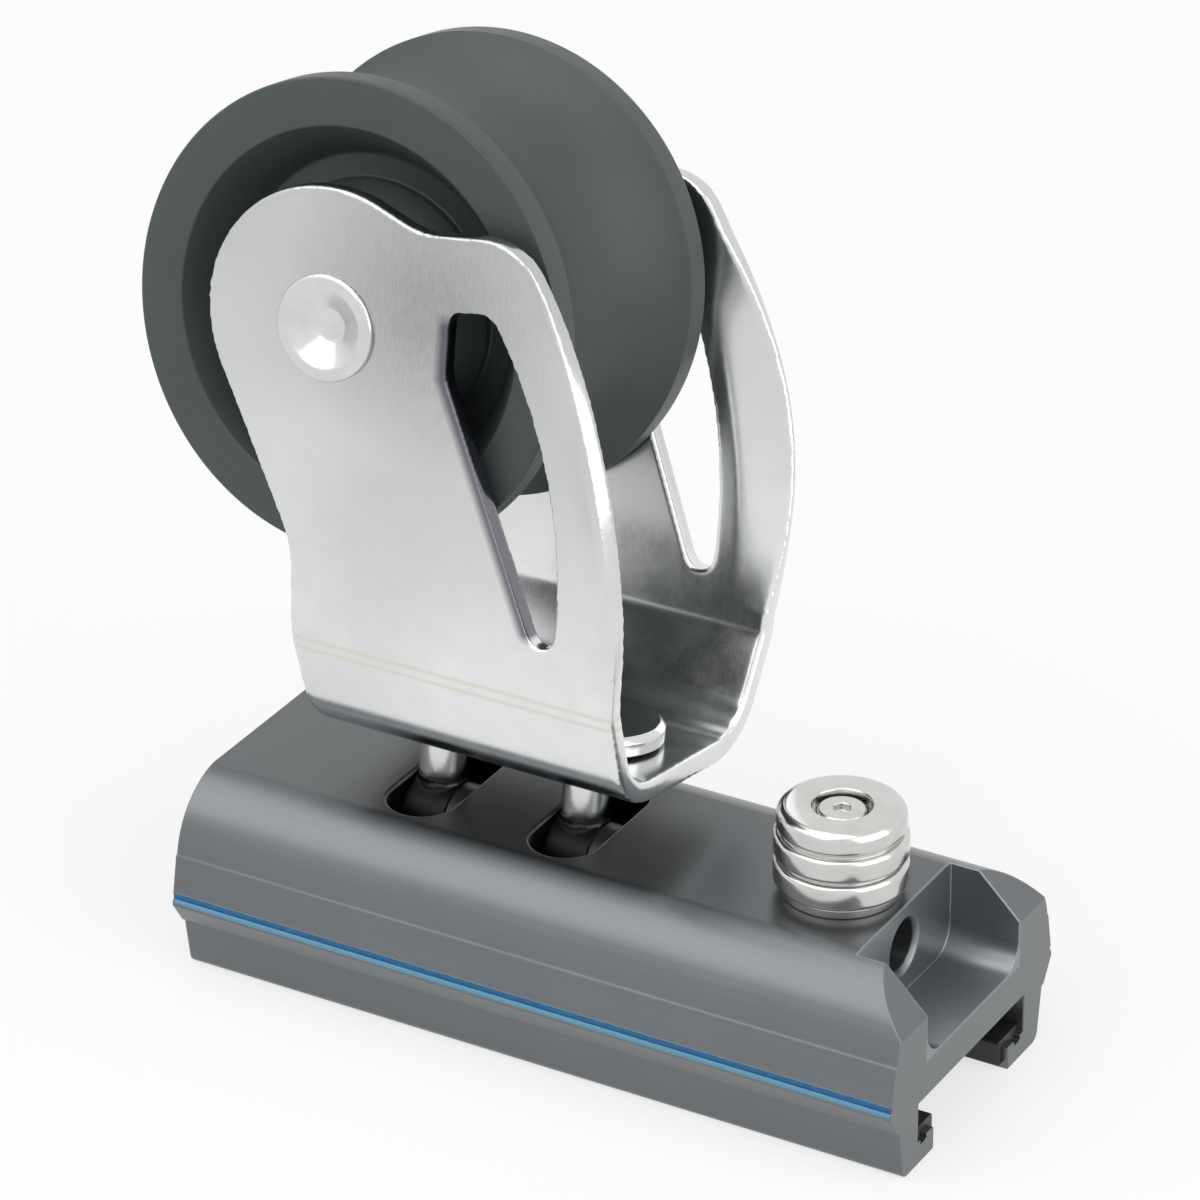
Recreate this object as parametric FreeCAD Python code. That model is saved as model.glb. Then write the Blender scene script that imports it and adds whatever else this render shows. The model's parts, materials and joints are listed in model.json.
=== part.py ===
"""Genoa car for a 32 mm T-track: sliding car body, stop plunger, leaning bracket and sheave.

Millimetres. +X runs along the car towards the plunger, +Y across it and +Z up. The origin is
at the middle of the car's underside. The bracket is drawn upright and then leaned over.
"""
import FreeCAD
import Part
import math
import os

V = FreeCAD.Vector
ALONG = V(1, 0, 0)
ACROSS = V(0, 1, 0)
UP = V(0, 0, 1)

# Car body: the extruded section
car_length = 124.0
car_height = 31.6
top_half_width = 13.6
ridge_half_width = 24.6
ridge_height = 20.9
shoulder_bulge = 2.5
ridge_step = 0.35
waist_half_width = 26.5
waist_height = 12.7
skirt_half_width = 24.0
skirt_height = 8.8
skirt_step = 0.6
skirt_taper = 1.1
foot_radius = 1.7

# Side groove that holds the coloured line
stripe_width = 0.9
stripe_depth = 0.35
stripe_height = 14.1

# T-shaped channel for the track
channel_half_width = 17.3
channel_roof = 10.5
lip_height = 3.8
lip_tip = 12.2

# Slide liners on the lips
liner_thickness = 1.3
liner_hook = 0.9
liner_rib_width = 2.0
liner_rib_depth = 0.9
liner_rib_place = 15.4
liner_gap = 0.04
liner_end_gap = 1.0
liner_edge_round = 0.4

# Pocket milled into the plunger end
pocket_length = 11.6
pocket_half_width = 14.9
pocket_floor = 16.9
pocket_corner = 4.5
end_slope = 7.2

# Hinge of the legs
hinge_height = 24.8
hinge_pin_diameter = 8.0
hinge_bore_gap = 0.03
hinge_blind_end = -41.5
hinge_pin_front = 30.0
hinge_mouth_chamfer = 0.7
running_gap = 0.05

# Legs and the slots that they swing in
leg_rear_x = -29.7
leg_spacing = 25.05
leg_diameter = 7.5
eye_diameter = 12.0
eye_width = 7.5
leg_collar_diameter = 11.0
leg_collar_height = 1.5
leg_thread_depth = 7.5
slot_width = 10.8
slot_length = 25.4
slot_floor_gap = 0.6
slot_side_gap = 0.15
slot_edge_break = 0.4
spacer_diameter = 11.6
spacer_gap = 0.1

# Cap screws that hold the bracket to the legs
screw_head_diameter = 22.0
screw_head_height = 3.5
screw_head_chamfer = 0.9
screw_seat_diameter = 17.0
screw_head_relief = 0.6
screw_shank_diameter = 6.0
screw_shank_gap = 0.03
screw_tip_gap = 0.8
screw_socket_flats = 5.0
screw_socket_depth = 2.2
bracket_hole_gap = 0.15

# Bracket: one plate bent to a U, with its front edges flared outwards
plate = 3.3
bracket_half_width = 27.7
bracket_splay_degrees = 2.5
bracket_base_half = 18.2
bracket_base_z = 40.5
bracket_crease_z = 57.5
base_bend_radius = 12.5
crease_bend_radius = 7.0
lobe_x = -39.3
lobe_z = 106.8
lobe_radius = 21.0
lobe_back_turn = 0.35
back_corner_x = -44.3
back_corner_z = 71.5
back_corner_radius = 16.0
back_foot_x = -42.4
front_x = 11.6
front_curve_radius = 98.0
front_curve_start_z = 66.0
shoulder_radius = 10.0
neck_x = -24.8
neck_z = 123.9
neck_slope = 0.14
neck_radius = 12.0
flare_depth = 3.5
flare_root = 6.0
flare_back = 7.0
flare_softness = 0.8
flare_low_z = 61.0
flare_high_z = 118.0
flare_sections = 9
flare_cut_margin = 1.0
flare_overlap = 0.05

# Long slot in each cheek
window_top_left_x = -19.3
window_top_left_z = 113.0
window_top_slope = 0.16
window_side_x = 1.3
window_side_z = 70.5
window_side_radius = 76.0
window_foot_z = 67.9
window_foot_radius = 2.3
window_bend_x = -19.4
window_bend_z = 103.0
window_bend_radius = 5.0
window_corner_radius = 2.0
window_shoulder_radius = 3.0

# Axle, washers and sheave
sheave_x = -39.7
sheave_z = 106.5
axle_diameter = 12.0
axle_hole_gap = 0.03
axle_head_diameter = 16.3
axle_head_height = 1.0
axle_head_chamfer = 0.4
axle_dish_diameter = 12.6
axle_dish_floor = 4.6
axle_dish_depth = 2.4
bush_wall = 2.0
bush_gap = 0.03
washer_diameter = 20.0
washer_gap = 0.05
washer_thickness = 1.6
sheave_diameter = 72.0
sheave_side_gap = 0.6
rim_width = 4.1
rim_bevel = 0.5
groove_depth = 9.0
recess_radius = 28.8
recess_floor_radius = 23.4
recess_floor_depth = 8.6
hub_foot_radius = 19.6
hub_step = 1.2
hub_face_radius = 13.0
hub_shoulder_radius = 16.5
hub_shoulder_depth = 3.0

# Stop plunger
plunger_x = 39.7
plunger_diameter = 8.0
plunger_nose_diameter = 7.6
plunger_nose_step = 0.2
plunger_tip_z = 5.6
plunger_tip_chamfer = 0.8
plunger_collar_diameter = 11.6
plunger_collar_height = 1.2
stem_diameter = 5.0
spring_pocket_diameter = 13.0
spring_pocket_floor = 16.0
plunger_seat_gap = 0.05
guide_diameter = 15.0
guide_depth = 4.0
guide_flange_diameter = 18.0
guide_flange_height = 1.5
guide_gap = 0.03
spring_wire = 0.9
spring_diameter = 8.8
spring_turns = 3.5
spring_end_gap = 0.1
knob_diameter = 20.3
knob_top_diameter = 19.5
knob_lift = 0.2
knob_height = 12.7
knob_groove_depth = 1.0
knob_groove_width = 0.5
knob_low_groove = 4.1
knob_high_groove = 8.5
knob_band_bevel = 0.7
knob_recess_diameter = 9.0
knob_recess_depth = 2.8
knob_floor = 3.0
knob_screw_head = 7.6
knob_screw_head_height = 2.2
knob_screw_shank = 3.0
knob_screw_length = 7.0
knob_socket_flats = 2.5
knob_socket_depth = 1.2

# The photograph's pose: the bracket leans to the far side
lean_degrees = 10.4

# Sizes that follow from the ones above
half_length = car_length / 2
splay = math.tan(math.radians(bracket_splay_degrees))
plate_across = plate / math.cos(math.radians(bracket_splay_degrees))
washer_seat = bracket_half_width - plate_across - splay * washer_diameter / 2
hub_half_width = washer_seat - washer_thickness - washer_gap * 2
sheave_radius = sheave_diameter / 2
sheave_half_width = bracket_half_width - plate_across - splay * sheave_radius - sheave_side_gap
leg_front_x = leg_rear_x + leg_spacing
base_inside_z = bracket_base_z + plate
pocket_wall_x = half_length - pocket_length
front_curve_centre_x = front_x - front_curve_radius
guide_top_z = car_height + guide_flange_height
knob_base_z = guide_top_z + knob_lift
knob_top_z = knob_base_z + knob_height


def unit(dx, dy):
    length = math.hypot(dx, dy)
    return dx / length, dy / length


def corner_arc(before, corner, after, radius):
    """Start, middle and end of the arc that rounds a corner between two straight lines."""
    ax, ay = unit(before[0] - corner[0], before[1] - corner[1])
    bx, by = unit(after[0] - corner[0], after[1] - corner[1])
    half_angle = math.acos(max(-1.0, min(1.0, ax * bx + ay * by))) / 2
    reach = radius / math.tan(half_angle)
    mx, my = unit(ax + bx, ay + by)
    middle = radius / math.sin(half_angle) - radius
    start = (corner[0] + ax * reach, corner[1] + ay * reach)
    end = (corner[0] + bx * reach, corner[1] + by * reach)
    return start, (corner[0] + mx * middle, corner[1] + my * middle), end


def corner_on_circle(point, direction, centre, circle_radius, radius):
    """Start, middle and end of the arc that rounds the corner of a line and a circle round it."""
    normal = (direction[1], -direction[0])
    qx = point[0] + normal[0] * radius - centre[0]
    qy = point[1] + normal[1] * radius - centre[1]
    along = qx * direction[0] + qy * direction[1]
    inner = circle_radius - radius
    step = -along + math.sqrt(along ** 2 - (qx * qx + qy * qy - inner ** 2))
    fx = qx + direction[0] * step
    fy = qy + direction[1] * step
    ox, oy = unit(fx, fy)
    mx, my = unit(ox - normal[0], oy - normal[1])
    arc_centre = (centre[0] + fx, centre[1] + fy)
    start = (arc_centre[0] - normal[0] * radius, arc_centre[1] - normal[1] * radius)
    end = (arc_centre[0] + ox * radius, arc_centre[1] + oy * radius)
    return start, (arc_centre[0] + mx * radius, arc_centre[1] + my * radius), end


def rounded_face(corners, place):
    """A face from corners (u, v, radius); place turns (u, v) into a point of its plane."""
    stretches = []
    for i, (u, v, radius) in enumerate(corners):
        before = corners[i - 1]
        after = corners[(i + 1) % len(corners)]
        if radius > 0:
            stretches.append(corner_arc(before[:2], (u, v), after[:2], radius))
        else:
            stretches.append(((u, v), None, (u, v)))
    edges = []
    for i, (start, middle, end) in enumerate(stretches):
        if middle is not None:
            edges.append(Part.Arc(place(*start), place(*middle), place(*end)).toShape())
        following = stretches[(i + 1) % len(stretches)][0]
        if math.dist(end, following) > 1e-6:
            edges.append(Part.makeLine(place(*end), place(*following)))
    return Part.Face(Part.Wire(edges))


def arc_through(points, place):
    """The arc through three points of a plane."""
    return Part.Arc(*[place(*point) for point in points]).toShape()


def side_plane(y):
    return lambda x, z: V(x, y, z)


def cross_plane(x):
    return lambda y, z: V(x, y, z)


def flat_plane(z):
    return lambda x, y: V(x, y, z)


def upright(diameter, x, low, high):
    """A cylinder on the car's centre line, from one height to another."""
    return Part.makeCylinder(diameter / 2, high - low, V(x, 0, low), UP)


def lengthwise(diameter, z, start, end):
    """A cylinder along the car."""
    return Part.makeCylinder(diameter / 2, end - start, V(start, 0, z), ALONG)


def crosswise(diameter, start, end):
    """A cylinder on the sheave's axis, from one side to the other."""
    return Part.makeCylinder(diameter / 2, end - start, V(sheave_x, start, sheave_z), ACROSS)


def turned(profile, x):
    """A turned piece on an upright axis, from (radius, height) points."""
    points = [V(x + radius, 0, height) for radius, height in profile]
    face = Part.Face(Part.makePolygon(points + points[:1]))
    return face.revolve(V(x, 0, 0), UP, 360)


def turned_on_axle(profile):
    """A piece turned about the sheave's axis, from (radius, y) points."""
    points = [V(sheave_x + radius, y, sheave_z) for radius, y in profile]
    face = Part.Face(Part.makePolygon(points + points[:1]))
    return face.revolve(V(sheave_x, 0, sheave_z), ACROSS, 360)


def hexagon(flats, x, low, high):
    """A hexagonal prism on the car's centre line."""
    reach = flats / math.sqrt(3)
    points = [V(x + reach * math.cos(math.radians(a)), reach * math.sin(math.radians(a)), low)
              for a in range(0, 361, 60)]
    return Part.Face(Part.makePolygon(points)).extrude(UP * (high - low))


def mirrored(shape):
    """The same shape on the car's other side."""
    return shape.mirror(V(0, 0, 0), ACROSS)


def leaned(shape):
    """Turns a piece of the upright bracket about the hinge pin to the far side."""
    turned_shape = shape.copy()
    turned_shape.rotate(V(0, 0, hinge_height), ALONG, -lean_degrees)
    return turned_shape


def save(shape, name):
    shape.exportStep(os.path.join("parts", name + ".step"))


def side_of_section():
    """Edges of the section's far half, from the top's middle down to the channel roof's middle."""
    place = cross_plane(-half_length)
    bulge_y = (top_half_width + ridge_half_width) / 2
    bulge_z = (car_height + ridge_height) / 2
    across, down = unit(ridge_half_width - top_half_width, ridge_height - car_height)
    bulge = (bulge_y - down * shoulder_bulge, bulge_z + across * shoulder_bulge)
    ridge_low = ridge_height - ridge_step
    skirt_top_y = skirt_half_width - skirt_step
    foot_y = skirt_top_y - skirt_taper
    foot_side = (foot_y, foot_radius)
    foot_middle = (foot_y - foot_radius * 0.3, foot_radius * 0.3)
    foot_flat = (foot_y - foot_radius, 0)
    edges = []
    edges.append(Part.makeLine(place(0, car_height), place(top_half_width, car_height)))
    edges.append(Part.Arc(place(top_half_width, car_height), place(*bulge),
                          place(ridge_half_width, ridge_height)).toShape())
    corners = [(ridge_half_width, ridge_height), (ridge_half_width + ridge_step, ridge_low),
               (waist_half_width, waist_height), (skirt_half_width, skirt_height),
               (skirt_top_y, skirt_height), foot_side]
    edges += [Part.makeLine(place(*a), place(*b)) for a, b in zip(corners, corners[1:])]
    edges.append(Part.Arc(place(*foot_side), place(*foot_middle), place(*foot_flat)).toShape())
    inside = [foot_flat, (lip_tip, 0), (lip_tip, lip_height), (channel_half_width, lip_height),
              (channel_half_width, channel_roof), (0, channel_roof)]
    edges += [Part.makeLine(place(*a), place(*b)) for a, b in zip(inside, inside[1:])]
    return edges


def section_block():
    """The extrusion: the whole section, car_length long."""
    half = Part.Wire(side_of_section())
    other_half = mirrored(half)
    section = Part.Wire(Part.__sortEdges__(half.Edges + other_half.Edges))
    return Part.Face(section).extrude(ALONG * car_length)


def stripe_grooves():
    """The shallow groove along each side."""
    side_rise = ridge_height - ridge_step - waist_height
    side_run = waist_half_width - ridge_half_width - ridge_step
    surface_y = waist_half_width - (stripe_height - waist_height) * side_run / side_rise
    groove = Part.makeBox(car_length, stripe_depth * 2, stripe_width,
                          V(-half_length, surface_y - stripe_depth, stripe_height - stripe_width / 2))
    return [groove, mirrored(groove)]


def rib_grooves():
    """Grooves in the lips that the liners' ribs press into."""
    corner = V(-half_length, liner_rib_place - liner_rib_width / 2, lip_height - liner_rib_depth)
    groove = Part.makeBox(car_length, liner_rib_width, liner_rib_depth, corner)
    return [groove, mirrored(groove)]


def end_pocket():
    """The milled pocket with its round lower corners."""
    high = car_height + pocket_corner
    corners = [(-pocket_half_width, high, 0), (-pocket_half_width, pocket_floor, pocket_corner),
               (pocket_half_width, pocket_floor, pocket_corner), (pocket_half_width, high, 0)]
    return rounded_face(corners, cross_plane(pocket_wall_x)).extrude(ALONG * (pocket_length * 2))


def sloped_end():
    """The wedge that slopes the pocket's side walls down to the end face."""
    slope_foot = car_height - end_slope
    beyond = half_length + end_slope
    corners = [(half_length - end_slope, car_height, 0), (half_length, slope_foot, 0),
               (beyond, slope_foot, 0), (beyond, car_height, 0)]
    wedge = rounded_face(corners, side_plane(-waist_half_width))
    return wedge.extrude(ACROSS * (waist_half_width * 2))


def round_ended(centre_x, width, length, z):
    """Outline, in a flat plane, of a round-ended slot across the car."""
    half = width / 2
    reach = length / 2
    corners = [(centre_x - half, -reach, half), (centre_x + half, -reach, half),
               (centre_x + half, reach, half), (centre_x - half, reach, half)]
    return rounded_face(corners, flat_plane(z))


def leg_slot(leg_x):
    """The slot that a leg swings in, with a broken top edge."""
    floor = hinge_height - eye_diameter / 2 - slot_floor_gap
    centre_x = leg_x - eye_width / 2 - slot_side_gap + slot_width / 2
    slot = round_ended(centre_x, slot_width, slot_length, floor).extrude(UP * (car_height - floor))
    wider = slot_edge_break * 2
    mouth_low = round_ended(centre_x, slot_width, slot_length, car_height - slot_edge_break)
    mouth_high = round_ended(centre_x, slot_width + wider, slot_length + wider, car_height)
    mouth = Part.makeLoft([mouth_low.OuterWire, mouth_high.OuterWire], True, True)
    return [slot, mouth]


def hinge_bore():
    """The blind bore from the pocket's wall past both leg slots, with a broken mouth."""
    diameter = hinge_pin_diameter + hinge_bore_gap * 2
    bore = lengthwise(diameter, hinge_height, hinge_blind_end, pocket_wall_x)
    mouth = Part.makeCone(diameter / 2, diameter / 2 + hinge_mouth_chamfer, hinge_mouth_chamfer,
                          V(pocket_wall_x - hinge_mouth_chamfer, 0, hinge_height), ALONG)
    return [bore, mouth]


def plunger_bores():
    """The stepped hole for the plunger, its spring and its guide bush."""
    guide_floor = car_height - guide_depth
    return [upright(plunger_diameter + running_gap * 2, plunger_x, channel_roof, spring_pocket_floor),
            upright(spring_pocket_diameter, plunger_x, spring_pocket_floor, guide_floor),
            upright(guide_diameter + guide_gap * 2, plunger_x, guide_floor, car_height)]


def car_body():
    cuts = stripe_grooves() + rib_grooves() + [end_pocket(), sloped_end()]
    cuts += leg_slot(leg_rear_x) + leg_slot(leg_front_x) + hinge_bore() + plunger_bores()
    return section_block().cut(cuts).removeSplitter()


def liner():
    """The far liner: it lies on the lip, turns down over its tip and has a rib in its groove."""
    start = -half_length + liner_end_gap
    length = car_length - liner_end_gap * 2
    top = lip_height + liner_gap + liner_thickness
    tip = lip_tip - liner_gap
    inner = tip - liner_thickness
    outer = channel_half_width - liner_gap
    low = liner_hook
    rib_low = liner_rib_place - liner_rib_width / 2 + liner_gap
    rib_high = liner_rib_place + liner_rib_width / 2 - liner_gap
    seat = lip_height + liner_gap
    rib_foot = lip_height - liner_rib_depth + liner_gap
    corners = [(inner, low, liner_edge_round), (tip, low, 0), (tip, seat, 0), (rib_low, seat, 0),
               (rib_low, rib_foot, 0), (rib_high, rib_foot, 0), (rib_high, seat, 0), (outer, seat, 0),
               (outer, top, liner_edge_round), (inner, top, liner_edge_round)]
    return rounded_face(corners, cross_plane(start)).extrude(ALONG * length)


def hinge_pin():
    start = hinge_blind_end + slot_floor_gap
    return lengthwise(hinge_pin_diameter, hinge_height, start, hinge_pin_front)


def eye_spacers():
    """A washer on the pin beside each leg's eye."""
    eye_side = eye_width / 2 + spacer_gap
    width = slot_width - eye_width - slot_side_gap - spacer_gap * 2
    spacers = []
    for leg_x in (leg_rear_x, leg_front_x):
        start = leg_x + eye_side
        ring = lengthwise(spacer_diameter, hinge_height, start, start + width)
        bore = lengthwise(hinge_pin_diameter + running_gap * 2, hinge_height, leg_x, start + width)
        spacers.append(ring.cut(bore))
    return Part.makeCompound(spacers)


def leg(leg_x):
    """An eye on the hinge pin, a round shank and a collar under the bracket."""
    eye = lengthwise(eye_diameter, hinge_height, leg_x - eye_width / 2, leg_x + eye_width / 2)
    shank = upright(leg_diameter, leg_x, hinge_height, bracket_base_z - leg_collar_height)
    collar = upright(leg_collar_diameter, leg_x, bracket_base_z - leg_collar_height, bracket_base_z)
    pin_bore = hinge_pin_diameter + running_gap * 2
    bore = lengthwise(pin_bore, hinge_height, leg_x - eye_width, leg_x + eye_width)
    thread = upright(screw_shank_diameter + screw_shank_gap * 2, leg_x, bracket_base_z - leg_thread_depth,
                     bracket_base_z)
    return eye.fuse([shank, collar]).cut([bore, thread]).removeSplitter()


def leg_screw(leg_x):
    """A cap screw with a wide low head inside the bracket."""
    low = base_inside_z
    high = base_inside_z + screw_head_height
    head_radius = screw_head_diameter / 2
    shank_radius = screw_shank_diameter / 2
    tip = bracket_base_z - leg_thread_depth + screw_tip_gap
    profile = [(0, tip), (shank_radius, tip), (shank_radius, low), (screw_seat_diameter / 2, low),
               (head_radius, low + screw_head_relief), (head_radius, high - screw_head_chamfer),
               (head_radius - screw_head_chamfer, high), (0, high)]
    socket = hexagon(screw_socket_flats, leg_x, high - screw_socket_depth, high)
    return turned(profile, leg_x).cut(socket)


def offset_lines(points, distance):
    """The open line through points, moved sideways by distance and met again at its corners."""
    moved = []
    for a, b in zip(points, points[1:]):
        dx, dy = unit(b[0] - a[0], b[1] - a[1])
        moved.append(((a[0] - dy * distance, a[1] + dx * distance), (dx, dy)))
    result = [moved[0][0]]
    for (p, d), (q, e) in zip(moved, moved[1:]):
        cross = d[0] * e[1] - d[1] * e[0]
        step = ((q[0] - p[0]) * e[1] - (q[1] - p[1]) * e[0]) / cross
        result.append((p[0] + d[0] * step, p[1] + d[1] * step))
    last, direction = moved[-1]
    run = math.dist(points[-2], points[-1])
    result.append((last[0] + direction[0] * run, last[1] + direction[1] * run))
    return result


def cheek_half(z):
    """Half the bracket's outer width at a height above the crease."""
    return bracket_half_width + (z - sheave_z) * splay


def bent_plate(top):
    """The U as a long channel: its section across the car, as long as the bracket."""
    outer = [(-cheek_half(top), top), (-cheek_half(bracket_crease_z), bracket_crease_z),
             (-bracket_base_half, bracket_base_z), (bracket_base_half, bracket_base_z),
             (cheek_half(bracket_crease_z), bracket_crease_z), (cheek_half(top), top)]
    inner = offset_lines(outer, plate)
    inner_crease = crease_bend_radius - plate
    inner_base = base_bend_radius - plate
    outer_radii = [0, crease_bend_radius, base_bend_radius, base_bend_radius, crease_bend_radius, 0]
    inner_radii = [0, inner_crease, inner_base, inner_base, inner_crease, 0]
    corners = [(y, z, r) for (y, z), r in zip(outer, outer_radii)]
    corners += [(y, z, r) for (y, z), r in zip(inner[::-1], inner_radii)]
    back = sheave_x - lobe_radius * 1.5
    return rounded_face(corners, cross_plane(back)).extrude(ALONG * (front_x - back + plate))


def front_curve_rise(z):
    """The height above the start of the bracket's front curve; the edge is straight below it."""
    return max(z - front_curve_start_z, 0.0)


def front_curve_point(z):
    """A point of the bracket's front edge."""
    across = math.sqrt(front_curve_radius ** 2 - front_curve_rise(z) ** 2)
    return front_curve_centre_x + across, z


def touch_point(point, centre, radius, side):
    """Where a line from a point touches a circle; side picks one of the two touches."""
    dx = point[0] - centre[0]
    dz = point[1] - centre[1]
    angle = math.atan2(dz, dx) + side * math.acos(radius / math.hypot(dx, dz))
    return centre[0] + radius * math.cos(angle), centre[1] + radius * math.sin(angle)


def cheek_outline():
    """The bracket seen from its side: foot, back edge, lobe round the axle, shoulder, front edge."""
    place = side_plane(-bracket_half_width * 2)
    low = bracket_base_z - plate
    lobe = (lobe_x, lobe_z)
    back_corner = (back_corner_x, back_corner_z)
    neck = (neck_x, neck_z)
    back_touch = touch_point(back_corner, lobe, lobe_radius, -1)
    neck_touch = touch_point(neck, lobe, lobe_radius, 1)
    neck_direction = unit(1, neck_slope)
    curve_centre = (front_curve_centre_x, front_curve_start_z)
    shoulder = corner_on_circle(neck, neck_direction, curve_centre, front_curve_radius, shoulder_radius)
    back_arc = corner_arc((back_foot_x, low), back_corner, back_touch, back_corner_radius)
    neck_arc = corner_arc(neck_touch, neck, shoulder[0], neck_radius)
    lobe_back = (lobe_x - lobe_radius * math.cos(lobe_back_turn),
                 lobe_z + lobe_radius * math.sin(lobe_back_turn))
    middle_z = (front_curve_start_z + shoulder[2][1]) / 2
    front_middle = front_curve_point(middle_z)
    front_low = (front_x, front_curve_start_z)
    edges = [Part.makeLine(place(front_x, low), place(back_foot_x, low)),
             Part.makeLine(place(back_foot_x, low), place(*back_arc[0])),
             arc_through(back_arc, place),
             Part.makeLine(place(*back_arc[2]), place(*back_touch)),
             arc_through((back_touch, lobe_back, neck_touch), place),
             Part.makeLine(place(*neck_touch), place(*neck_arc[0])),
             arc_through(neck_arc, place),
             Part.makeLine(place(*neck_arc[2]), place(*shoulder[0])),
             arc_through(shoulder, place),
             arc_through((shoulder[2], front_middle, front_low), place),
             Part.makeLine(place(*front_low), place(front_x, low))]
    return Part.Face(Part.Wire(edges)).extrude(ACROSS * (bracket_half_width * 4))


def cheek_window():
    """The long slot through both cheeks: a curved front side and a straight back side."""
    place = side_plane(-bracket_half_width * 2)
    curve_centre = (window_side_x - window_side_radius, window_side_z)
    foot = (window_side_x - window_foot_radius, window_foot_z)
    bend = (window_bend_x, window_bend_z)
    top_left = (window_top_left_x, window_top_left_z)
    foot_right = (window_side_x, window_foot_z)
    foot_low = (foot[0], window_foot_z - window_foot_radius)
    foot_left = touch_point(bend, foot, window_foot_radius, 1)
    shoulder = corner_on_circle(top_left, unit(1, window_top_slope), curve_centre, window_side_radius,
                                window_shoulder_radius)
    top_arc = corner_arc(bend, top_left, shoulder[0], window_corner_radius)
    bend_arc = corner_arc(foot_left, bend, top_left, window_bend_radius)
    middle_z = (shoulder[2][1] + window_side_z) / 2
    middle_x = curve_centre[0] + math.sqrt(window_side_radius ** 2 - (middle_z - window_side_z) ** 2)
    side_low = (window_side_x, window_side_z)
    edges = [arc_through((foot_right, foot_low, foot_left), place),
             Part.makeLine(place(*foot_left), place(*bend_arc[0])),
             arc_through(bend_arc, place),
             Part.makeLine(place(*bend_arc[2]), place(*top_arc[0])),
             arc_through(top_arc, place),
             Part.makeLine(place(*top_arc[2]), place(*shoulder[0])),
             arc_through(shoulder, place),
             arc_through((shoulder[2], (middle_x, middle_z), side_low), place),
             Part.makeLine(place(*side_low), place(*foot_right))]
    return Part.Face(Part.Wire(edges)).extrude(ACROSS * (bracket_half_width * 4))


def square_to_front(z):
    """Turns (outward, y) into a point of the plane that is square to the far cheek's front curve."""
    x_on, z_on = front_curve_point(z)
    out_x, out_z = unit(x_on - front_curve_centre_x, front_curve_rise(z))

    def place(outward, y):
        height = z_on + out_z * outward
        return V(x_on + out_x * outward, cheek_half(height) + y, height)

    return place


def soft_bend(start, corner, ahead, end, place):
    """A smooth curve that leaves start along the cheek, turns at the corner and runs straight to end."""
    curve = Part.BezierCurve()
    before = (corner[0] - flare_softness, corner[1])
    after = (corner[0] + ahead[0] * flare_softness, corner[1] + ahead[1] * flare_softness)
    curve.setPoles([place(*point) for point in (start, before, after, end)])
    return curve.toShape()


def flare_section(z, share):
    """One section of the flared strip; share is how far the flare is turned out there."""
    place = square_to_front(z)
    tip = (0, flare_depth * share)
    turn = math.atan2(tip[1], flare_root)
    ahead = (math.cos(turn), math.sin(turn))
    inner_tip = (plate_across * ahead[1], tip[1] - plate_across * ahead[0])
    inner_corner = (plate_across * math.tan(turn / 2) - flare_root, -plate_across)
    inner_back = (-flare_back - flare_overlap, -plate_across)
    outer_back = (-flare_back - flare_overlap, 0)
    edges = [Part.makeLine(place(*inner_back), place(*outer_back)),
             soft_bend(outer_back, (-flare_root, 0), ahead, tip, place),
             Part.makeLine(place(*tip), place(*inner_tip)),
             soft_bend(inner_back, inner_corner, ahead, inner_tip, place)]
    return Part.Wire(Part.__sortEdges__(edges))


def room_section(z):
    """One section of what the flared strip takes the place of."""
    place = square_to_front(z)
    inside = -plate_across - flare_cut_margin
    corners = [(-flare_back, inside), (-flare_back, flare_cut_margin),
               (flare_cut_margin, flare_cut_margin), (flare_cut_margin, inside)]
    points = [place(*corner) for corner in corners]
    return Part.makePolygon(points + points[:1])


def flared_front():
    """The far cheek's front strip, turned outwards most in its middle, and the room it needs."""
    strip_sections = []
    room_sections = []
    for i in range(flare_sections):
        along = i / (flare_sections - 1)
        z = flare_low_z + (flare_high_z - flare_low_z) * along
        strip_sections.append(flare_section(z, math.sin(math.pi * along)))
        room_sections.append(room_section(z))
    return Part.makeLoft(strip_sections, True, False), Part.makeLoft(room_sections, True, False)


def bracket():
    top = sheave_z + lobe_radius * 2
    strip, room = flared_front()
    plates = bent_plate(top).common(cheek_outline()).cut([room, mirrored(room)])
    whole = plates.fuse([strip, mirrored(strip)])
    cuts = [cheek_window(),
            crosswise(axle_diameter + axle_hole_gap * 2, -bracket_half_width * 2, bracket_half_width * 2)]
    for leg_x in (leg_rear_x, leg_front_x):
        cuts.append(upright(screw_shank_diameter + bracket_hole_gap * 2, leg_x, bracket_base_z - plate,
                            base_inside_z + plate))
    return whole.cut(cuts)


def axle(plates):
    """The riveted axle: a dished head on each end, closed down onto the cheek's outer face."""
    body_radius = axle_diameter / 2
    head_radius = axle_head_diameter / 2
    head_foot = bracket_half_width - plate / 2
    end = bracket_half_width + axle_head_height
    half = [(0, end - axle_dish_depth), (axle_dish_floor / 2, end - axle_dish_depth),
            (axle_dish_diameter / 2, end), (head_radius - axle_head_chamfer, end),
            (head_radius, end - axle_head_chamfer), (head_radius, head_foot), (body_radius, head_foot)]
    profile = half + [(radius, -y) for radius, y in reversed(half)]
    return turned_on_axle(profile).cut(plates)


def side_washer(side):
    """A washer between the sheave's hub and a cheek."""
    start = hub_half_width + washer_gap
    end = washer_seat - washer_gap
    low, high = sorted((side * start, side * end))
    bore = crosswise(axle_diameter + running_gap * 2, low - plate, high + plate)
    return crosswise(washer_diameter, low, high).cut(bore)


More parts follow.
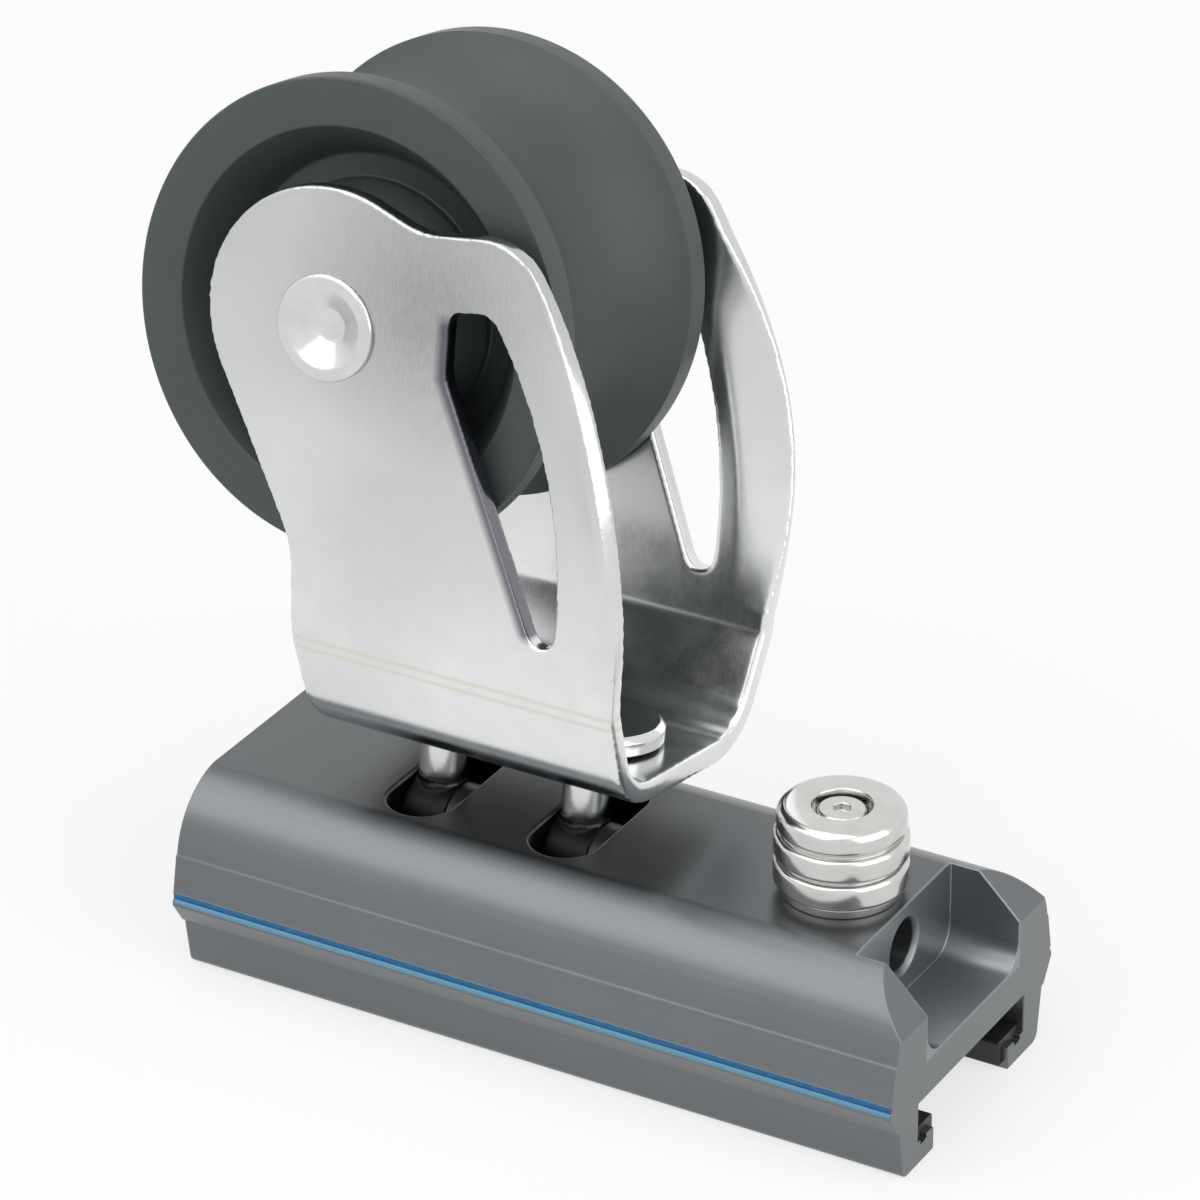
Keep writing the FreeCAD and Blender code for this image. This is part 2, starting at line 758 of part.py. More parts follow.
def groove_arc():
    """The rope groove, from one rim's inner edge to the other's."""
    edge_y = sheave_half_width - rim_bevel - rim_width
    return (Part.Arc(V(sheave_x + sheave_radius, -edge_y, sheave_z),
                     V(sheave_x + sheave_radius - groove_depth, 0, sheave_z),
                     V(sheave_x + sheave_radius, edge_y, sheave_z)).toShape(), edge_y)


def sheave():
    """The sheave: a wide round groove, bevelled rims, and a conical recess round the hub on each side."""
    groove, edge_y = groove_arc()
    face_y = sheave_half_width
    bevel_y = face_y - rim_bevel
    floor_y = face_y - recess_floor_depth
    bore = axle_diameter / 2 + running_gap + bush_wall + bush_gap
    half = [(sheave_radius, edge_y), (sheave_radius, bevel_y), (sheave_radius - rim_bevel, face_y),
            (recess_radius, face_y), (recess_floor_radius, floor_y), (hub_foot_radius, floor_y),
            (hub_foot_radius, floor_y + hub_step),
            (hub_shoulder_radius, hub_half_width - hub_shoulder_depth),
            (hub_face_radius, hub_half_width), (bore, hub_half_width)]
    far_points = [V(sheave_x + radius, y, sheave_z) for radius, y in half]
    near_points = [V(sheave_x + radius, -y, sheave_z) for radius, y in half]
    far_side = Part.makePolygon(far_points)
    near_side = Part.makePolygon(near_points)
    bore_line = Part.makeLine(far_points[-1], near_points[-1])
    outline = Part.Wire(Part.__sortEdges__([groove, bore_line] + far_side.Edges + near_side.Edges))
    return Part.Face(outline).revolve(V(sheave_x, 0, sheave_z), ACROSS, 360)


def sheave_bush():
    """The bearing sleeve pressed into the sheave's hub."""
    inner = axle_diameter + running_gap * 2
    outer = inner + bush_wall * 2
    tube = crosswise(outer, -hub_half_width, hub_half_width)
    return tube.cut(crosswise(inner, -bracket_half_width, bracket_half_width))


def plunger_pin():
    """The stop pin with its nose in the channel, a collar under the spring and a thin stem."""
    radius = plunger_diameter / 2
    nose = plunger_nose_diameter / 2
    nose_top = channel_roof - plunger_nose_step
    stem = stem_diameter / 2
    collar = plunger_collar_diameter / 2
    seat = spring_pocket_floor + plunger_seat_gap
    collar_top = seat + plunger_collar_height
    top = knob_top_z - knob_recess_depth - knob_floor
    profile = [(0, plunger_tip_z), (nose - plunger_tip_chamfer, plunger_tip_z),
               (nose, plunger_tip_z + plunger_tip_chamfer), (nose, nose_top), (radius, nose_top),
               (radius, seat), (collar, seat), (collar, collar_top), (stem, collar_top), (stem, top),
               (0, top)]
    hole = upright(knob_screw_shank + guide_gap * 2, plunger_x, top - knob_screw_length, top)
    return turned(profile, plunger_x).cut(hole)


def plunger_bush():
    """The guide bush screwed into the car, with its flange under the knob."""
    low = car_height - guide_depth
    body = upright(guide_diameter, plunger_x, low, car_height)
    flange = upright(guide_flange_diameter, plunger_x, car_height, guide_top_z)
    bore = upright(stem_diameter + running_gap * 2, plunger_x, low, guide_top_z)
    return body.fuse(flange).cut(bore).removeSplitter()


def plunger_spring():
    """The coil spring round the stem, between the plunger's collar and the guide bush."""
    low = spring_pocket_floor + plunger_seat_gap + plunger_collar_height + spring_end_gap + spring_wire / 2
    high = car_height - guide_depth - spring_end_gap - spring_wire / 2
    coil_radius = spring_diameter / 2
    path = Part.makeHelix((high - low) / spring_turns, high - low, coil_radius)
    points = []
    for turn in range(0, 361, 72):
        angle = math.radians(turn)
        outward = spring_wire / 2 * math.cos(angle)
        points.append(V(coil_radius + outward, 0, spring_wire / 2 * math.sin(angle)))
    coil = Part.Wire(path).makePipeShell([Part.makePolygon(points)], True, True)
    coil.translate(V(plunger_x, 0, low))
    return coil


def knob_band(diameter, low, high):
    """Outline of one band of the knob, with both its edges bevelled."""
    radius = diameter / 2
    return [(radius - knob_band_bevel, low), (radius, low + knob_band_bevel),
            (radius, high - knob_band_bevel), (radius - knob_band_bevel, high)]


def plunger_knob():
    """The pull knob: three bands with narrow grooves between them and a recess in its top."""
    waist = knob_diameter / 2 - knob_groove_depth
    recess = knob_recess_diameter / 2
    stem = stem_diameter / 2 + guide_gap
    shank = knob_screw_shank / 2 + guide_gap
    recess_floor = knob_top_z - knob_recess_depth
    stem_top = recess_floor - knob_floor
    low_groove = knob_base_z + knob_low_groove
    high_groove = knob_base_z + knob_high_groove
    profile = [(stem, knob_base_z)]
    profile += knob_band(knob_diameter, knob_base_z, low_groove)
    profile += [(waist, low_groove), (waist, low_groove + knob_groove_width)]
    profile += knob_band(knob_diameter, low_groove + knob_groove_width, high_groove)
    profile += [(waist, high_groove), (waist, high_groove + knob_groove_width)]
    profile += knob_band(knob_top_diameter, high_groove + knob_groove_width, knob_top_z)
    profile += [(recess, knob_top_z), (recess, recess_floor), (shank, recess_floor), (shank, stem_top),
                (stem, stem_top)]
    return turned(profile, plunger_x)


def knob_screw():
    """The screw that holds the knob on the plunger's stem."""
    seat = knob_top_z - knob_recess_depth
    top = seat + knob_screw_head_height
    tip = seat - knob_floor - knob_screw_length + screw_tip_gap
    head = knob_screw_head / 2
    shank = knob_screw_shank / 2
    profile = [(0, tip), (shank, tip), (shank, seat), (head, seat), (head, top - axle_head_chamfer),
               (head - axle_head_chamfer, top), (0, top)]
    socket = hexagon(knob_socket_flats, plunger_x, top - knob_socket_depth, top)
    return turned(profile, plunger_x).cut(socket)


def main():
    os.makedirs("parts", exist_ok=True)
    save(car_body(), "car_body")
    far_liner = liner()
    save(far_liner, "liner_far")
    save(mirrored(far_liner), "liner_near")
    save(hinge_pin(), "hinge_pin")
    save(eye_spacers(), "eye_spacers")
    save(leaned(leg(leg_rear_x)), "leg_rear")
    save(leaned(leg(leg_front_x)), "leg_front")
    save(leaned(leg_screw(leg_rear_x)), "leg_screw_rear")
    save(leaned(leg_screw(leg_front_x)), "leg_screw_front")
    plates = bracket()
    save(leaned(plates), "bracket")
    save(leaned(axle(plates)), "axle")
    save(leaned(side_washer(-1)), "sheave_washer_near")
    save(leaned(side_washer(1)), "sheave_washer_far")
    save(leaned(sheave()), "sheave")
    save(leaned(sheave_bush()), "sheave_bush")
    save(plunger_pin(), "plunger_pin")
    save(plunger_bush(), "plunger_bush")
    save(plunger_spring(), "plunger_spring")
    save(plunger_knob(), "plunger_knob")
    save(knob_screw(), "knob_screw")


main()
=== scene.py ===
"""Looks of the genoa car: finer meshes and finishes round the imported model, and the photo stage.

Lengths are metres. MM turns the millimetre sizes below into metres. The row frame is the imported
model's: +X along the car towards the plunger, +Y across it, +Z up, origin under the car's middle.
"""

import json
import math

import bmesh
import bpy
from bpy.props import FloatProperty, FloatVectorProperty, IntProperty, PointerProperty
from mathutils import Euler, Matrix, Vector


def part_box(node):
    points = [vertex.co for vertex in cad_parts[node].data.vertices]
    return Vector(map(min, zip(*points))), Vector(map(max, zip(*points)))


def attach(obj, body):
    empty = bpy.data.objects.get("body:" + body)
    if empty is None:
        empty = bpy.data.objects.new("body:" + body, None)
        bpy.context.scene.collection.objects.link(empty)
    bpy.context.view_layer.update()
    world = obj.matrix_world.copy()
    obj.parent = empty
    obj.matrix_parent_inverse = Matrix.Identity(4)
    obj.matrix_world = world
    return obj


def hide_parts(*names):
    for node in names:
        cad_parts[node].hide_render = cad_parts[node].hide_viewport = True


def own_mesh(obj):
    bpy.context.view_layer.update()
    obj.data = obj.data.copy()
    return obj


bl_info = {
    "name": "Genoa Car Looks",
    "version": (1, 0, 0),
    "blender": (4, 5, 0),
    "location": "View3D > Sidebar > Genoa Car",
    "description": "Finer meshes, finishes and a studio stage for a packed genoa car",
    "category": "Object",
}

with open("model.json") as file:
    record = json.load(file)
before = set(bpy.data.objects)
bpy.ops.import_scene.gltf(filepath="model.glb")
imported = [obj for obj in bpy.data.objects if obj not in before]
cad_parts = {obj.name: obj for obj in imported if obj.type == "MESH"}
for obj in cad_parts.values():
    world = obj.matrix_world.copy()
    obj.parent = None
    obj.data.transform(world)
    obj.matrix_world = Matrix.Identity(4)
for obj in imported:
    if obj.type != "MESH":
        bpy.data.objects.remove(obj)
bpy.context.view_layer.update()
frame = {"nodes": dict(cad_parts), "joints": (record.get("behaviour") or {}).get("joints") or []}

MM = 0.001
UP = Vector((0, 0, 1))
ALONG = Vector((1, 0, 0))
JOINTS = {joint["name"]: joint for joint in frame["joints"]}
HINGE = Vector(JOINTS["bracket_swing"]["pos_m"])
SHEAVE_CENTRE = Vector(JOINTS["sheave_spin"]["pos_m"])
SHEAVE_AXIS = Vector(JOINTS["sheave_spin"]["axis"])
BRACKET_UP = SHEAVE_AXIS.cross(-ALONG)
KNOB_LOW, KNOB_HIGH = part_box("plunger_knob")
KNOB_CENTRE = Vector(((KNOB_LOW.x + KNOB_HIGH.x) / 2, (KNOB_LOW.y + KNOB_HIGH.y) / 2, 0))
CAR_LOW, CAR_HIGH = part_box("car_body")
LEGS_MIDDLE = (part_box("leg_rear")[0].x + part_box("leg_front")[1].x) / 2
SPRING_LOW, SPRING_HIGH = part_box("plunger_spring")

# Sheave outline, in millimetres from its middle
SHEAVE_HALF_WIDTH = 22.22
RIM_WIDTH = 4.1
GROOVE_DEPTH = 9.0
GROOVE_STEPS = 48
RECESS_RADIUS = 28.8
RECESS_FLOOR_RADIUS = 23.4
RECESS_DEPTH = 8.6
HUB_FOOT_RADIUS = 19.6
HUB_STEP = 1.2
HUB_SHOULDER_RADIUS = 16.5
HUB_SHOULDER_DROP = 3.0
HUB_FACE_RADIUS = 13.0
HUB_HALF_WIDTH = 22.26
HUB_BORE_RADIUS = 8.08

# Knob outline, in millimetres
KNOB_TOP_RADIUS = 9.75
KNOB_GROOVE_WIDTH = 0.5
KNOB_GROOVE_DEPTH = 1.0
KNOB_LOW_GROOVE = 4.1
KNOB_HIGH_GROOVE = 8.5
KNOB_FLOOR = 3.0
KNOB_STEM_RADIUS = 2.53
KNOB_SHANK_RADIUS = 1.53

# Plunger's spring: its wire in millimetres, its turns, and the steps in a turn and round the wire
SPRING_WIRE = 0.9
SPRING_TURNS = 3.5
SPRING_STEPS = 32
WIRE_STEPS = 10

# Roundings on the edges of smaller pieces, in millimetres
LINER_ROUND = 0.12
PIN_ROUND = 0.4
PLUNGER_ROUND = 0.15
BUSH_ROUND = 0.25

# Place of the coloured line on the car's side, in millimetres
LINE_HEIGHT = 14.1
LINE_BACK = 25.88

# Reach of the line's paint above and below its middle, and how far out the painted side starts, in
# millimetres, and what is added to half of its colour as a painted highlight on its edges
PAINT_TOP = 0.62
PAINT_FOOT = -1.2
PAINTED_SIDE = 24.8
PAINT_HIGHLIGHT = (0.1, 0.22, 0.27)

# Height above the row's floor below which the legs get a painted shade in their slots, in millimetres
LEG_SHADE_TOP = 32.0

# Reach of the legs' slots from midway between the legs, along and across, and the height at which
# the painted shade on their walls starts, in millimetres
SLOTS_ALONG = 19.2
SLOTS_ACROSS = 12.7
SLOT_SHADE_FOOT = 13.0

# Milled pocket at the plunger's end: its wall, half width and floor, in millimetres
POCKET_WALL = 50.4
POCKET_HALF_WIDTH = 14.9
POCKET_FLOOR = 16.9

# Darker patch on the near cheek, partly satin polish and partly painted shade, along X and up the
# bracket, the painted reflection lines at its low bend, and where that cheek starts across the bracket,
# in millimetres
SATIN_AND_SHADE_PATCH = (-22.0, 113.0)
BEND_LINES = (57.2, 55.5)
NEAR_CHEEK = -22.0

# The window's edge towards the axle, along X and up the bracket, in millimetres: where it bends,
# where its straight part ends, and its height
WINDOW_BEND = (-19.4, 103.0)
WINDOW_FOOT = (-3.0, 67.0)
WINDOW_TOP = 111.0

# What the painted reflection on the bend's lines leaves of the steel's colour, and the colour of the
# painted shade on the window's rolled edge
BEND_REFLECTION_TINT = (0.86, 0.8, 0.62)
ROLLED_SHADE = (0.07, 0.07, 0.1, 1.0)

# Turn that takes the bracket's edges off the new skin's grid
SKIN_TURN = (0.6, 0.45, 0.8)

# Skins of the axle and the legs, in millimetres, and their smoothing passes
AXLE_SKIN = 0.22
AXLE_PASSES = 8
LEG_SKIN = 0.24
LEG_PASSES = 8

# Range of a noise's value that a pattern is spread over, and a narrower one for a stronger pattern
NOISE = (0.3, 0.7)
STRONG_NOISE = (0.35, 0.65)

# Cleaning and rounding of copied and turned meshes: points nearer than the distance are one, faces
# within the flat angle are joined, and edges over the other angles are rounded or kept sharp
MERGE_DISTANCE = 0.0005 * MM
FLAT_ANGLE = math.radians(0.4)
ROUNDED_ANGLE = math.radians(32.0)
ROUNDING_STEPS = 3
TURNED_SHARP_ANGLE = math.radians(40.0)

# Lamps: place and size in metres, and whether they show in reflections
LAMPS = {"key": ((-0.25, -0.35, 1.05), 1.35, True), "fill": ((-0.95, -0.85, 0.55), 0.9, False),
         "side": ((1.0, -0.1, 0.6), 1.2, True)}
WHITE = (1.0, 1.0, 1.0, 1.0)

# Floor: half its width in metres, and how much of what the camera sees of it is its own light
FLOOR_HALF = 6.0
FLOOR_GLOW = 0.7

# Camera, from the photograph
CAMERA_AZIMUTH = math.radians(30.045)
CAMERA_ELEVATION = math.radians(28.168)
CAMERA_ROLL = math.radians(-0.392)
CAMERA_DISTANCE = 0.89056
CAMERA_TARGET = Vector((-0.001094, 0.0, 0.069271))
SENSOR_WIDTH = 36.0
CAMERA_LENS = 180.70
CAMERA_CLIP = 0.05


class CarLooks(bpy.types.PropertyGroup):
    """Sizes and colours of the car body and its liners."""

    edge_round: FloatProperty(
        name="Edge round", description="Radius that the machined edges are broken to",
        default=0.22 * MM, min=0.0, max=1.0 * MM, precision=5, unit="LENGTH", subtype="DISTANCE")
    alloy: FloatVectorProperty(
        name="Alloy", description="Colour of the anodised car", subtype="COLOR", size=3,
        min=0.0, max=1.0, default=(0.168, 0.179, 0.186))
    liner: FloatVectorProperty(
        name="Liner", description="Colour of the slide liners", subtype="COLOR", size=3,
        min=0.0, max=1.0, default=(0.016, 0.018, 0.019))
    line: FloatVectorProperty(
        name="Side line", description="Colour of the line along each side", subtype="COLOR", size=3,
        min=0.0, max=1.0, default=(0.004, 0.1, 0.25))
    line_width: FloatProperty(
        name="Line width", description="Width of the coloured line", default=0.9 * MM,
        min=0.1 * MM, max=2.0 * MM, precision=5, unit="LENGTH", subtype="DISTANCE")
    line_thickness: FloatProperty(
        name="Line thickness", description="Thickness of the coloured line in its groove",
        default=0.22 * MM, min=0.05 * MM, max=0.3 * MM, precision=5, unit="LENGTH",
        subtype="DISTANCE")


class BracketLooks(bpy.types.PropertyGroup):
    """Sizes and colours of the bracket and its fittings."""

    skin_size: FloatProperty(
        name="Skin size", description="Size of the faces that the bracket's skin is rebuilt with",
        default=0.34 * MM, min=0.3 * MM, max=1.0 * MM, precision=5, unit="LENGTH",
        subtype="DISTANCE")
    edge_passes: IntProperty(
        name="Edge passes", description="Smoothing passes, which round the polished edges",
        default=24, min=0, max=60)
    kept_faces: FloatProperty(
        name="Faces kept", description="Share of the new skin's faces that thinning leaves",
        default=0.3, min=0.05, max=0.35, subtype="FACTOR")
    fitting_round: FloatProperty(
        name="Fitting edge round", description="Radius on the edges of legs, screws and axle",
        default=0.18 * MM, min=0.0, max=0.6 * MM, precision=5, unit="LENGTH", subtype="DISTANCE")
    steel: FloatVectorProperty(
        name="Steel", description="Colour of the polished steel", subtype="COLOR", size=3,
        min=0.0, max=1.0, default=(0.8, 0.81, 0.812))
    roughness: FloatProperty(
        name="Roughness", description="How much the polish blurs what it reflects", default=0.2,
        min=0.02, max=1.0, subtype="FACTOR")


class SheaveLooks(bpy.types.PropertyGroup):
    """Sizes and colours of the sheave."""

    diameter: FloatProperty(
        name="Diameter", description="Diameter over the rims", default=72.0 * MM,
        min=50.0 * MM, max=72.0 * MM, precision=5, unit="LENGTH", subtype="DISTANCE")
    edge_round: FloatProperty(
        name="Edge round", description="Radius on the rims' edges", default=0.45 * MM,
        min=0.05 * MM, max=1.0 * MM, precision=5, unit="LENGTH", subtype="DISTANCE")
    segments: IntProperty(
        name="Segments", description="Steps round the sheave", default=180, min=32, max=256)
    plastic: FloatVectorProperty(
        name="Plastic", description="Colour of the sheave", subtype="COLOR", size=3,
        min=0.0, max=1.0, default=(0.046, 0.057, 0.057))
    bearing: FloatVectorProperty(
        name="Bearing", description="Colour of the bush and side washers", subtype="COLOR", size=3,
        min=0.0, max=1.0, default=(0.52, 0.5, 0.45))


class KnobLooks(bpy.types.PropertyGroup):
    """Sizes and colours of the plunger's knob."""

    diameter: FloatProperty(
        name="Diameter", description="Diameter of the two lower bands", default=20.3 * MM,
        min=12.0 * MM, max=20.3 * MM, precision=5, unit="LENGTH", subtype="DISTANCE")
    edge_round: FloatProperty(
        name="Edge round", description="Radius on the bands' edges", default=0.9 * MM,
        min=0.1 * MM, max=1.5 * MM, precision=5, unit="LENGTH", subtype="DISTANCE")
    recess_diameter: FloatProperty(
        name="Recess", description="Diameter of the recess in the knob's top", default=9.0 * MM,
        min=8.0 * MM, max=14.0 * MM, precision=5, unit="LENGTH", subtype="DISTANCE")
    recess_depth: FloatProperty(
        name="Recess depth", description="Depth of that recess", default=2.8 * MM,
        min=2.4 * MM, max=2.8 * MM, precision=5, unit="LENGTH", subtype="DISTANCE")
    top_round: FloatProperty(
        name="Top round", description="Radius on the top band's upper edge", default=1.6 * MM,
        min=0.1 * MM, max=2.0 * MM, precision=5, unit="LENGTH", subtype="DISTANCE")
    segments: IntProperty(
        name="Segments", description="Steps round the knob", default=96, min=24, max=200)
    steel: FloatVectorProperty(
        name="Steel", description="Colour of the turned steel", subtype="COLOR", size=3,
        min=0.0, max=1.0, default=(0.62, 0.615, 0.6))


class StageLooks(bpy.types.PropertyGroup):
    """Light levels and the floor's colour."""

    key_power: FloatProperty(
        name="Key", description="Power of the large lamp over the object", default=7.0, min=0.0,
        unit="POWER")
    fill_power: FloatProperty(
        name="Fill", description="Power of the lamp at the camera's left", default=3.0, min=0.0,
        unit="POWER")
    side_power: FloatProperty(
        name="Side", description="Power of the lamp at the plunger's end", default=5.0, min=0.0,
        unit="POWER")
    surround: FloatProperty(
        name="Surround", description="Strength of the pale surround's light", default=0.55,
        min=0.0, max=1.0, subtype="FACTOR")
    floor: FloatVectorProperty(
        name="Floor", description="Colour of the floor", subtype="COLOR", size=3,
        min=0.0, max=1.0, default=(0.86, 0.86, 0.86))


def give(tree, socket, value):
    """Links a socket to another one or to a node's first output, or sets its value."""
    if isinstance(value, bpy.types.Node):
        value = value.outputs[0]
    if isinstance(value, bpy.types.NodeSocket):
        tree.links.new(value, socket)
    else:
        socket.default_value = value


def add(tree, kind, inputs=None, **settings):
    """Adds a node. An input is given by name or number, as a value, a socket or a node."""
    made = tree.nodes.new(kind)
    for key, value in settings.items():
        setattr(made, key, value)
    for key, value in (inputs or {}).items():
        give(tree, made.inputs[key], value)
    return made


def calculate(tree, operation, *values):
    made = add(tree, "ShaderNodeMath", dict(enumerate(values)), operation=operation)
    return made.outputs["Value"]


def product(tree, *values):
    """All the values multiplied together."""
    result = values[0]
    for value in values[1:]:
        result = calculate(tree, "MULTIPLY", result, value)
    return result


def weighted(tree, first, share, second):
    """A mean of two values in which the first has this share."""
    return calculate(tree, "ADD", product(tree, first, share), product(tree, second, 1.0 - share))


def away(tree, value, middle=0.0):
    """How far a value is from the middle, on either side."""
    return calculate(tree, "ABSOLUTE", calculate(tree, "SUBTRACT", value, middle))


def distance(tree, first, second):
    """How far a point with these two offsets lies from where both are 0."""
    squares = calculate(tree, "ADD", product(tree, first, first), product(tree, second, second))
    return calculate(tree, "SQRT", squares)


def dot(tree, first, second):
    made = add(tree, "ShaderNodeVectorMath", {0: first, 1: second}, operation="DOT_PRODUCT")
    return made.outputs["Value"]


def spread(tree, value, low, high, to_low=0.0, to_high=1.0):
    """Maps a value's range from low and high to to_low and to_high."""
    inputs = {"Value": value, "From Min": low, "From Max": high, "To Min": to_low, "To Max": to_high}
    return add(tree, "ShaderNodeMapRange", inputs).outputs["Result"]


def inside(tree, value, limit, fade):
    """1 where the value is under the limit, falling to 0 over the fade."""
    return spread(tree, value, limit, limit + fade, 1.0, 0.0)


def tint(colour, factor):
    """The colour made lighter or darker, with full alpha."""
    return tuple(min(1.0, part * factor) for part in colour) + (1.0,)


def paint_highlight(looks):
    """The line's paint made pale, as a painted highlight."""
    return tuple(part * 0.5 + extra for part, extra in zip(looks.line, PAINT_HIGHLIGHT)) + (1.0,)


def mixed_colours(tree, factor, first, second):
    made = add(tree, "ShaderNodeMix", {0: factor, 6: first, 7: second}, data_type="RGBA")
    return made.outputs[2]


def mottled(tree, noise, noise_range, colour, dark, light):
    """The colour between its dark and light tints, as the noise goes through its range."""
    share = spread(tree, noise, *noise_range)
    return mixed_colours(tree, share, tint(colour, dark), tint(colour, light))


def coated(tree, colour, *layers):
    """The colour under its layers, each given as where it lies and its own colour."""
    for share, layer in layers:
        colour = mixed_colours(tree, share, colour, layer)
    return colour


def object_place(tree):
    return add(tree, "ShaderNodeTexCoord").outputs["Object"]


def parts_of(tree, place):
    """The X, Y and Z of a place."""
    return add(tree, "ShaderNodeSeparateXYZ", {"Vector": place}).outputs


def stretched(tree, place, scale):
    """The place scaled, which draws a pattern out along the axes with a small scale."""
    return add(tree, "ShaderNodeMapping", {"Vector": place, "Scale": scale}).outputs["Vector"]


def grain(tree, place, scale, detail=2.0, roughness=0.5):
    """Noise at a scale in turns a metre, from 0 to 1."""
    inputs = {"Vector": place, "Scale": scale, "Detail": detail, "Roughness": roughness}
    return add(tree, "ShaderNodeTexNoise", inputs).outputs["Fac"]


def relief(tree, height, depth, normal=None):
    """Bump from a height between 0 and 1 that stands for this depth."""
    inputs = {"Height": height, "Strength": 1.0, "Distance": depth}
    if normal is not None:
        inputs["Normal"] = normal
    return add(tree, "ShaderNodeBump", inputs).outputs["Normal"]


def edge_mask(tree, radius):
    """About 1 on edges sharper than radius and 0 on open faces."""
    soft = add(tree, "ShaderNodeBevel", {"Radius": radius}, samples=4).outputs["Normal"]
    plain = add(tree, "ShaderNodeNewGeometry").outputs["Normal"]
    return spread(tree, dot(tree, soft, plain), 0.995, 0.9)


def empty_tree(owner):
    """The node tree of a material or world, with its first nodes taken out."""
    owner.use_nodes = True
    owner.node_tree.nodes.clear()
    return owner.node_tree


def new_finish(name):
    """A node material with its shader, and the tree to add to."""
    material = bpy.data.materials.new(name)
    tree = empty_tree(material)
    shader = add(tree, "ShaderNodeBsdfPrincipled")
    add(tree, "ShaderNodeOutputMaterial", {"Surface": shader})
    return material, tree, shader


def feed(tree, shader, **inputs):
    """Sets the shader's inputs, given by their names in lower case with underscores."""
    names = {socket.name.lower().replace(" ", "_"): socket for socket in shader.inputs}
    for key, value in inputs.items():
        give(tree, names[key], value)


def axis_place(tree, centre, axis):
    """Distance from an axis and distance along it, as a place for patterns of turned pieces."""
    to_piece = UP.rotation_difference(axis).to_matrix().transposed()
    inputs = {"Vector": object_place(tree), "Location": -(to_piece @ centre),
              "Rotation": to_piece.to_euler("XYZ")}
    mapped = add(tree, "ShaderNodeMapping", inputs, vector_type="POINT").outputs["Vector"]
    parts = parts_of(tree, mapped)
    inputs = {"X": distance(tree, parts["X"], parts["Y"]), "Y": parts["Z"]}
    return add(tree, "ShaderNodeCombineXYZ", inputs).outputs["Vector"], mapped


def slot_shade(tree, parts):
    """1 on the walls of the slots that the legs stand in, fading out on the top round them: where shade
    is painted.
    """
    along = calculate(tree, "SUBTRACT", away(tree, parts["X"], LEGS_MIDDLE), SLOTS_ALONG * MM)
    across = calculate(tree, "SUBTRACT", away(tree, parts["Y"]), SLOTS_ACROSS * MM)
    beyond = calculate(tree, "MAXIMUM", along, across)
    low = spread(tree, parts["Z"], SLOT_SHADE_FOOT * MM, (SLOT_SHADE_FOOT + 1.0) * MM)
    high = inside(tree, parts["Z"], CAR_HIGH.z - 0.7 * MM, 0.5 * MM)
    walls = product(tree, inside(tree, beyond, 0.2 * MM, 0.2 * MM), low, high)
    shade_round_slots = product(tree, inside(tree, beyond, -1.0 * MM, 7.0 * MM), 0.4,
                   calculate(tree, "SUBTRACT", 1.0, high))
    return calculate(tree, "MAXIMUM", walls, shade_round_slots)


def pocket_highlight(tree, parts):
    """1 on the faces of the pocket at the plunger's end, where a highlight is painted."""
    deep = spread(tree, parts["X"], (POCKET_WALL - 0.4) * MM, (POCKET_WALL - 0.2) * MM)
    low = spread(tree, parts["Z"], (POCKET_FLOOR - 0.4) * MM, (POCKET_FLOOR - 0.2) * MM)
    between = inside(tree, away(tree, parts["Y"]), (POCKET_HALF_WIDTH + 0.2) * MM, 0.2 * MM)
    return product(tree, between, deep, low)


def highlit_paint_edges(tree, parts):
    """1 where the line's paint runs over the edges of its groove, mostly below it, and is made pale as
    a painted highlight.
    """
    off_line = calculate(tree, "SUBTRACT", parts["Z"], LINE_HEIGHT * MM)
    above = inside(tree, off_line, PAINT_TOP * MM, 0.16 * MM)
    below = spread(tree, off_line, PAINT_FOOT * MM, (PAINT_FOOT + 0.3) * MM)
    side = spread(tree, away(tree, parts["Y"]), PAINTED_SIDE * MM, (PAINTED_SIDE + 0.2) * MM)
    along = inside(tree, away(tree, parts["X"]), CAR_HIGH.x - 0.3 * MM, 0.1 * MM)
    return product(tree, side, along, above, below)


def anodised_alloy(looks):
    """Grey anodised alloy with fine drawing lines along the car, a painted highlight on its broken
    edges and in the end pocket, painted shade on its top and round the leg slots, and the line's paint
    over its groove's edges made pale as a painted highlight.
    """
    material, tree, shader = new_finish("anodised_alloy")
    place = object_place(tree)
    lines = grain(tree, stretched(tree, place, (0.012, 1.0, 1.0)), 2600, 3.0, 0.65)
    clouds = grain(tree, place, 55, 3.0)
    speckle = grain(tree, place, 7000, 1.0)
    tone = weighted(tree, lines, 0.6, clouds)
    parts = parts_of(tree, place)
    # Painted highlight: the broken edges made paler
    edges = product(tree, edge_mask(tree, 0.3 * MM), 0.35)
    # Painted shade: the whole top face made darker
    top = spread(tree, parts["Z"], CAR_HIGH.z - 0.7 * MM, CAR_HIGH.z - 0.1 * MM)
    # Painted highlight: the line's paint over the groove's edges made pale
    painted = highlit_paint_edges(tree, parts)
    colour = coated(tree, mottled(tree, tone, NOISE, looks.alloy, 0.93, 1.06),
                    (edges, tint(looks.alloy, 1.9)), (top, tint(looks.alloy, 0.82)),
                    # Painted highlight: the end pocket made lighter
                    (pocket_highlight(tree, parts), tint(looks.alloy, 1.5)),
                    # Painted shade: the slots' walls made dark, and the top round them darkened
                    (slot_shade(tree, parts), tint(looks.alloy, 0.15)),
                    (painted, paint_highlight(looks)))
    feed(tree, shader, base_color=colour, metallic=spread(tree, painted, 0.0, 1.0, 0.85, 0.0),
         roughness=spread(tree, tone, *NOISE, 0.27, 0.35),
         normal=relief(tree, lines, 0.003 * MM, relief(tree, speckle, 0.004 * MM)))
    return material


